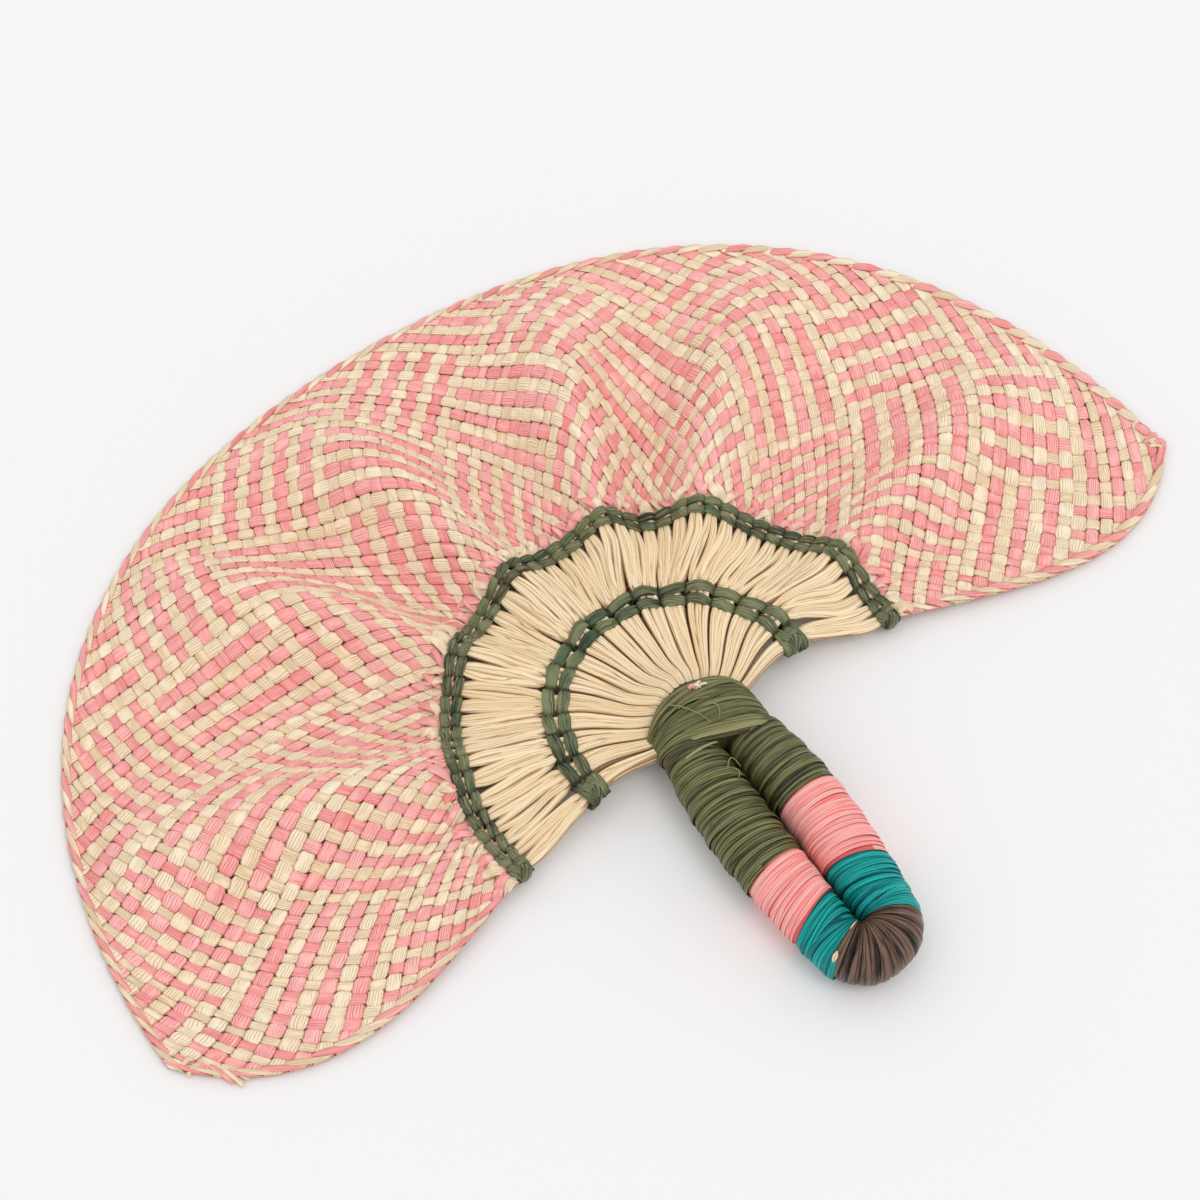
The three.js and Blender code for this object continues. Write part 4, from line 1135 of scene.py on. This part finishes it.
def wind_bend(rings, from_angle, to_angle, step_angle, lap_ratio):
    """A helix round the bend: turns are wedges, wide outside and pinched together inside."""
    turns = (to_angle - from_angle) / step_angle
    a = np.linspace(0, FULL_TURN * turns, int(turns * WIND_STEPS))
    settle = np.minimum(1, np.minimum(a, a[-1] - a) / BEND_SETTLE)
    count = a / FULL_TURN + BEND_WOBBLE * settle * wobble(a, 1.0)
    half = np.radians(step_angle) / 2 * lap_ratio
    spread = np.radians(from_angle + step_angle * count)[:, None] + STRAP_ACROSS * half
    rise = STRAP_RISE + LAP_TILT * STRAP_ACROSS + LAP_SWING * np.sin(a * LAP_RATE)[:, None]
    r = bend_radius - BEND_SINK + rise
    reach = np.maximum(bend_aside + r * np.cos(a)[:, None], BEND_LEAST_REACH["winding"])
    z = bend_height + (r + BEND_EXTRA) * np.sin(a)[:, None]
    z = np.maximum(z, BEND_LEAST_HEIGHT["winding"])
    points = np.stack([reach * np.cos(spread), BEND_Y + reach * np.sin(spread), z], -1)
    rings.add(lean(points), STRAP_UV, (a * bend_radius / 6)[:, None], turn_tone(a, from_angle), STRAP_DEPTH)


def sleeve_bend(rings, from_angle, to_angle):
    """The same first layer, carried round the bend."""
    steps = int((to_angle - from_angle) / SLEEVE_STEP_ANGLE) + 2
    along = np.radians(np.linspace(from_angle, to_angle, steps))[:, None]
    r = bend_radius - SLEEVE_DEPTH
    reach = np.maximum(bend_aside + r * np.cos(SLEEVE_ROUND), BEND_LEAST_REACH["sleeve"])
    z = bend_height + (r + BEND_EXTRA) * np.sin(SLEEVE_ROUND)
    z = np.broadcast_to(np.maximum(z, BEND_LEAST_HEIGHT["sleeve"]), (steps, len(SLEEVE_ROUND)))
    points = np.stack([reach * np.cos(along), BEND_Y + reach * np.sin(along), z], -1)
    rings.add(lean(points), along * 4, SLEEVE_ROUND * 2, 0.5, SLEEVE_SHADE)


# %% Wind the whole handle
LEG_SIDE = {"left": -1, "right": 1}
WRAP_PLACES = {"left": (-15, -70, -91, BEND_Y - 1.0), "right": (-22, -53, -83.5, BEND_Y - 1.0)}
WRAP_SLANTS = {"left": ([15, 60, 70, 91, 96, 101.5], [-0.18, -0.08, 0.08, 0.40, 0.36, 0.0]),
               "right": ([22, 54, 84, 96, 101.5], [0.05, -0.02, -0.32, -0.32, 0.0])}
DYES = (("green", OLIVE, 1.1), ("pink", SALMON, 0.6), ("teal", TEAL, 0.75))
LEFT_TEAL_TO_ANGLE = 205
RIGHT_TEAL_FROM_ANGLE = 338
TEAL_SLEEVE = {"left": (164, LEFT_TEAL_TO_ANGLE), "right": (RIGHT_TEAL_FROM_ANGLE, 376)}
TEAL_WINDING = {"left": (178, LEFT_TEAL_TO_ANGLE), "right": (RIGHT_TEAL_FROM_ANGLE, 362)}
TEAL_STEP_ANGLE, TEAL_LAP = 6.5, 1.7
BROWN_STEP_ANGLE, BROWN_LAP = 10.2, 1.4

for side_name, side in LEG_SIDE.items():
    places, slant = WRAP_PLACES[side_name], WRAP_SLANTS[side_name]
    for top, low, (dye, material, rough) in zip(places, places[1:], DYES):
        winding = Rings()
        sleeve_leg(winding, side, top, low, slant)
        wind_leg(winding, side, top, low, slant, rough)
        if dye == "teal":
            sleeve_bend(winding, *TEAL_SLEEVE[side_name])
            wind_bend(winding, *TEAL_WINDING[side_name], TEAL_STEP_ANGLE, TEAL_LAP)
        make_piece(f"{side_name}_leg_{dye}_winding", winding, material, f"wrap_{dye}",
                   [f"{side_name}_leg_{dye}_wrap"])

bend = Rings()
sleeve_bend(bend, LEFT_TEAL_TO_ANGLE, RIGHT_TEAL_FROM_ANGLE)
wind_bend(bend, LEFT_TEAL_TO_ANGLE, RIGHT_TEAL_FROM_ANGLE, BROWN_STEP_ANGLE, BROWN_LAP)
make_piece("bend_brown_winding", bend, BROWN, "wrap_brown", ["bend_brown_wrap"])

# %% [markdown]
# At the neck a wide green strip goes round both legs and arches up over the roots of the ribs.
# Its path is a stadium, two half circles joined by straights, and each turn is set by the rise.
# A few shorter strips run across the turns at another slope, and their ends sink in under them.

# %% The neck wrap
NECK_TURNS = 7
NECK_STEPS = 72
NECK_LOW_Y = -20.0
NECK_LOW_SLOPE = -0.33
NECK_TOP_Y = 4.0
NECK_TOP_DROP = 8.0
NECK_HALF = 21.0
NECK_RADIUS = 10.9
NECK_ASIDE = 10.4
NECK_HEIGHT = 12.9
NECK_WOBBLE = 0.6
NECK_SINK = 0.5
NECK_TUCK = 0.45
NECK_TUCK_TURNS = 1.6
NECK_TILT = 0.25
NECK_WAVE = 0.15
NECK_WAVE_RATE = 5.1
NECK_TONE = 0.75
NECK_TURN_LENGTH = 14
SINK_TURN = 0.07
SINK_DEPTH = 1.4
CROSSING_LIFT = 0.5
# The strips that cross the others: first and last turn, share of a turn's width, phase and climb.
NECK_CROSSINGS = ((5.08, 5.46, 0.30, 0.3, -4.2), (3.10, 3.50, 0.36, 1.1, -3.0),
                  (4.30, 4.52, 0.28, 2.4, -5.0), (2.04, 2.40, 0.32, 3.0, -1.5),
                  (6.05, 6.45, 0.26, 0.8, -3.0))


def neck_rise(far, x):
    """Height along the handle: from a sloped lowest turn (0) to an arched top turn (1)."""
    low = NECK_LOW_Y + NECK_LOW_SLOPE * x
    top = NECK_TOP_Y - NECK_TOP_DROP * (x / NECK_HALF) ** 2
    return low + (top - low) * far


def stadium(round_trip):
    """Which leg axis a point of the turn belongs to, and its angle there, by length run."""
    corner = np.pi * NECK_RADIUS / 2
    lengths = np.cumsum([0, corner, 2 * NECK_ASIDE, 2 * corner, 2 * NECK_ASIDE, corner])
    run = (round_trip % 1) * lengths[-1]
    axis = np.interp(run, lengths, NECK_ASIDE * np.array([1, 1, -1, -1, 1, 1]))
    angle = np.interp(run, lengths, [0, 90, 90, 270, 270, 360])
    return axis, np.radians(angle)


def neck_strip(rings, from_turn, to_turn, lap, lift, phase, climb=1.0, sink_start=0.0, sink_end=0.0):
    """The strap's section carried round both legs, some places higher with each turn."""
    turn = np.linspace(from_turn, to_turn, int((to_turn - from_turn) * NECK_STEPS))
    axis, around = stadium(turn)
    x = axis + NECK_RADIUS * np.cos(around)
    far = (from_turn + climb * (turn - from_turn)) / NECK_TURNS
    y = neck_rise(far, x) + NECK_WOBBLE * wobble(FULL_TURN * turn, phase)
    room = neck_rise(far + 0.5 / NECK_TURNS, x) - neck_rise(far - 0.5 / NECK_TURNS, x)
    tuck = lift - NECK_TUCK * (1 - smooth(turn / NECK_TUCK_TURNS))
    tuck = tuck - sink_end * smooth((turn - to_turn) / SINK_TURN + 1)
    tuck = tuck - sink_start * (1 - smooth((turn - from_turn) / SINK_TURN))
    section = STRAP_RISE - NECK_TILT * STRAP_ACROSS
    r = NECK_RADIUS - NECK_SINK + section + (tuck + NECK_WAVE * np.sin(turn * NECK_WAVE_RATE))[:, None]
    points = np.stack([axis[:, None] + r * np.cos(around)[:, None],
                       y[:, None] + STRAP_ACROSS * (room * lap)[:, None],
                       NECK_HEIGHT + r * np.sin(around)[:, None]], -1)
    tone = NECK_TONE * turn_tone(FULL_TURN * turn, phase)
    rings.add(lean(points), STRAP_UV, (turn * NECK_TURN_LENGTH)[:, None], tone, STRAP_DEPTH)


neck = Rings()
neck_strip(neck, -0.05, NECK_TURNS, lap=0.72, lift=0.0, phase=2.0)
for from_turn, to_turn, lap, phase, climb in NECK_CROSSINGS:
    neck_strip(neck, from_turn, to_turn, lap, CROSSING_LIFT, phase, climb, SINK_DEPTH, SINK_DEPTH)
make_piece("neck_winding", neck, OLIVE, "wrap_green", ["neck_wrap"])
light_strip = Rings()
neck_strip(light_strip, -0.12, 0.37, lap=0.38, lift=0.95, phase=0.4, sink_end=SINK_DEPTH)
make_piece("neck_light_strip", light_strip, LIGHT_OLIVE, "wrap_green", ["neck_wrap"])

# %% [markdown]
# A few ends stay loose. One pink and some undyed ones are tied on top of the neck, and at the
# two tips of the blade the last strips are cut short and stick out. Each end is an arc set by
# three points, and the tables give those points, half the width, half the thickness and the tone.

# %% The tied ends and the tips
END_STEPS = np.linspace(0, 1, 15)[:, None]
TIE_TOP = NECK_HEIGHT + NECK_RADIUS + 0.4
END_DEPTH = 0.4
# Pink or not, then the three points. The heights of the tied ends are counted from the neck's top.
TIE_ENDS = (
    (True, (2.7, 0.4, -0.3), (1.9, 1.2, 2.2), (0.9, 1.2, -0.2), 0.8, 0.5, 0.6),
    (False, (2.4, 1.4, -0.4), (3.2, 0.0, 2.6), (4.4, -0.4, -0.2), 0.7, 0.5, 0.2),
    (False, (3.0, -0.4, -0.3), (4.4, 1.2, 2.2), (5.4, 0.6, 0.3), 0.55, 0.4, 0.7),
    (False, (3.8, 0.2, -0.2), (5.2, -0.6, 1.6), (7.0, -0.9, 0.2), 0.5, 0.35, 0.4))
TIP_ENDS = (
    (False, (-206.5, -12.0, 1.6), (-204.5, -17.5, 3.6), (-202.6, -23.4, 1.0), 0.9, 0.4, 0.8),
    (False, (-204.0, -13.5, 1.6), (-203.0, -19.0, 3.2), (-199.8, -22.6, 1.0), 0.7, 0.4, 0.5),
    (True, (-208.0, -11.0, 1.6), (-206.5, -17.0, 3.4), (-204.6, -20.6, 1.0), 0.9, 0.4, 0.5),
    (False, (-211.0, -5.5, 1.8), (-213.5, -4.5, 3.4), (-216.6, -6.6, 1.0), 1.0, 0.4, 0.9),
    (False, (-211.5, -8.0, 1.8), (-214.0, -8.5, 3.2), (-215.8, -9.6, 1.0), 0.8, 0.4, 0.3),
    (True, (214.0, -4.5, 1.6), (221.5, -1.5, 4.6), (218.4, -6.6, 1.8), 0.9, 0.4, 0.3),
    (True, (215.0, -6.5, 1.6), (222.5, -6.5, 4.4), (217.6, -10.6, 1.8), 1.1, 0.4, 0.6),
    (False, (214.5, -6.5, 2.2), (219.6, -8.4, 3.0), (217.0, -12.0, 1.6), 0.8, 0.4, 0.5))


def lay_end(rings, path, half_width, half_thickness, tone):
    """A flat strip carried along a path, its broad side up."""
    along = unit(np.gradient(path, axis=0))
    side = unit(np.cross(along, [0.0, 0.0, 1.0]) + 1e-6)
    up = np.cross(side, along)
    points = sweep(path, side, up, np.full(len(path), half_width), np.full(len(path), half_thickness))
    rings.add(points, (np.cos(OVAL) + 1) / 2, END_STEPS * 3, tone, END_DEPTH)


def loose_end(rings, start, bend_to, stop, half_width, half_thickness, tone, from_height=0.0):
    """A curve with weights (1-q)^2, 2q(1-q) and q^2 for the three points."""
    q = END_STEPS
    path = (1 - q) ** 2 * np.array(start) + 2 * q * (1 - q) * np.array(bend_to) + q**2 * np.array(stop)
    lay_end(rings, path + [0, 0, from_height], half_width, half_thickness, tone)


for name, node, ends, from_height in (("neck_tie", "neck_tie_knot", TIE_ENDS, TIE_TOP),
                                      ("tip_ends", "blade_mat", TIP_ENDS, 0.0)):
    loose = {True: Rings(), False: Rings()}
    for pink, *end in ends:
        loose_end(loose[pink], *end, from_height)
    make_pair(name, loose, node)

# %% [markdown]
# Just outside the outer row the strips of the mat are gathered. They hump up, swing aside and
# go in under the twine in no order, so chance picks their colour, place, swing and reach.

# %% The gathered ends
ENDS_PER_FINGER = 2
GATHER_RISE = 1.9
GATHER_ROUNDNESS = 0.8
GATHER_HALF_THICKNESS = 0.5
GATHER_PLACE = 0.012
GATHER_SWING = 0.035
GATHER_REACHES = (0.026, 0.056)
GATHER_HALF_WIDTHS = (1.2, 1.9)


def gathered_end(rings, t, swing, reach, half_width, tone):
    """A strip along s from the row, swung aside along t, its rise a sine to a power."""
    q = END_STEPS[:, 0]
    s, at = reach * q, t + swing * (q - 0.5)
    rise = GATHER_RISE * np.sin(np.pi * q) ** GATHER_ROUNDNESS
    path = mat_point(s, at) + mat_normal(s, at) * rise[:, None]
    lay_end(rings, path, half_width, GATHER_HALF_THICKNESS, tone)


gathers = {True: Rings(), False: Rings()}
for middle in np.repeat((finger_angles - FINGER_MIDDLE_ANGLE) / MAT_HALF_ANGLE, ENDS_PER_FINGER):
    gathered_end(gathers[bool(rng.uniform() < 0.5)], middle + rng.uniform(-GATHER_PLACE, GATHER_PLACE),
                 rng.uniform(-GATHER_SWING, GATHER_SWING), rng.uniform(*GATHER_REACHES),
                 rng.uniform(*GATHER_HALF_WIDTHS), rng.uniform(0, 1))
make_pair("gathered_ends", gathers, "blade_mat")

# %% [markdown]
# A few fibres have come loose on the neck and on the left leg. Such a hair is the same arc, only
# very thin, and its middle point lies on it, so the point that bends it is worked out from that.

# %% The loose hairs
HAIR_HALF_THICKNESS = 0.17
HAIR_TONE = 0.1
# Each loose hair: its start, its middle and its end, and half its width.
HAIRS = {
    "neck_hairs": ("neck_wrap", (
        ((-9.7, 0.3, 24.2), (-4.7, -5.6, 24.9), (-1.2, -14.1, 24.2), 0.18),
        ((1.2, -7.6, 24.2), (4.5, -10.3, 25.0), (1.9, -15.0, 24.2), 0.18),
        ((-7.4, -3.3, 24.2), (-0.7, -3.7, 24.8), (5.2, -6.5, 24.2), 0.16))),
    "left_leg_hairs": ("left_leg_green_wrap", (
        ((-16.6, -20.1, 22.6), (-10.1, -20.8, 24.7), (-3.5, -21.0, 22.3), 0.50),
        ((-7.6, -32.3, 23.6), (-4.0, -29.5, 23.5), (-2.2, -32.7, 20.3), 0.18),
        ((-5.5, -32.6, 22.6), (-5.0, -35.5, 23.0), (-8.0, -38.0, 24.4), 0.16),
        ((-7.9, -37.8, 24.4), (-14.1, -36.2, 25.7), (-19.8, -35.2, 23.4), 0.28))),
}
for name, (node, hairs) in HAIRS.items():
    rings = Rings()
    for start, middle, stop, half_width in hairs:
        bend_to = 2 * np.array(middle) - (np.array(start) + np.array(stop)) / 2
        loose_end(rings, start, bend_to, stop, half_width, HAIR_HALF_THICKNESS, HAIR_TONE)
    make_piece(name, rings, LIGHT_OLIVE, "wrap_green", [node])

# %% [markdown]
# Where the brown wrap begins, a little undyed leaf of the core shows beside the teal. It is a
# thin strip laid across the bend, wide in the middle and narrow at both ends.

# %% The core leaf at the bend
SLIVER_STEPS = 12
SLIVER_HALF_ANGLE = 3.0
SLIVER_LIFT = 0.75
SLIVER_RISE = 0.5


def bend_sliver(rings, from_turn, to_turn, tone):
    """The strap's section across the bend, from one section angle to another, tapered by a sine."""
    a = np.radians(np.linspace(from_turn, to_turn, SLIVER_STEPS))[:, None]
    taper = np.sin(np.linspace(0.2, 2.9, SLIVER_STEPS))[:, None]
    along = np.radians(LEFT_TEAL_TO_ANGLE + SLIVER_HALF_ANGLE * STRAP_ACROSS * taper)
    r = bend_radius + SLIVER_LIFT + SLIVER_RISE * STRAP_RISE
    reach = bend_aside + r * np.cos(a)
    z = bend_height + (r + BEND_EXTRA) * np.sin(a)
    points = np.stack([reach * np.cos(along), BEND_Y + reach * np.sin(along), z], -1)
    rings.add(lean(points), STRAP_UV, a * 2, tone, 0.2)


core_leaf = Rings()
bend_sliver(core_leaf, 102, 134, tone=0.4)
bend_sliver(core_leaf, 34, 56, tone=0.8)
make_piece("core_leaf_at_bend", core_leaf, RIB, "rib_leaf", ["bend_brown_wrap"])
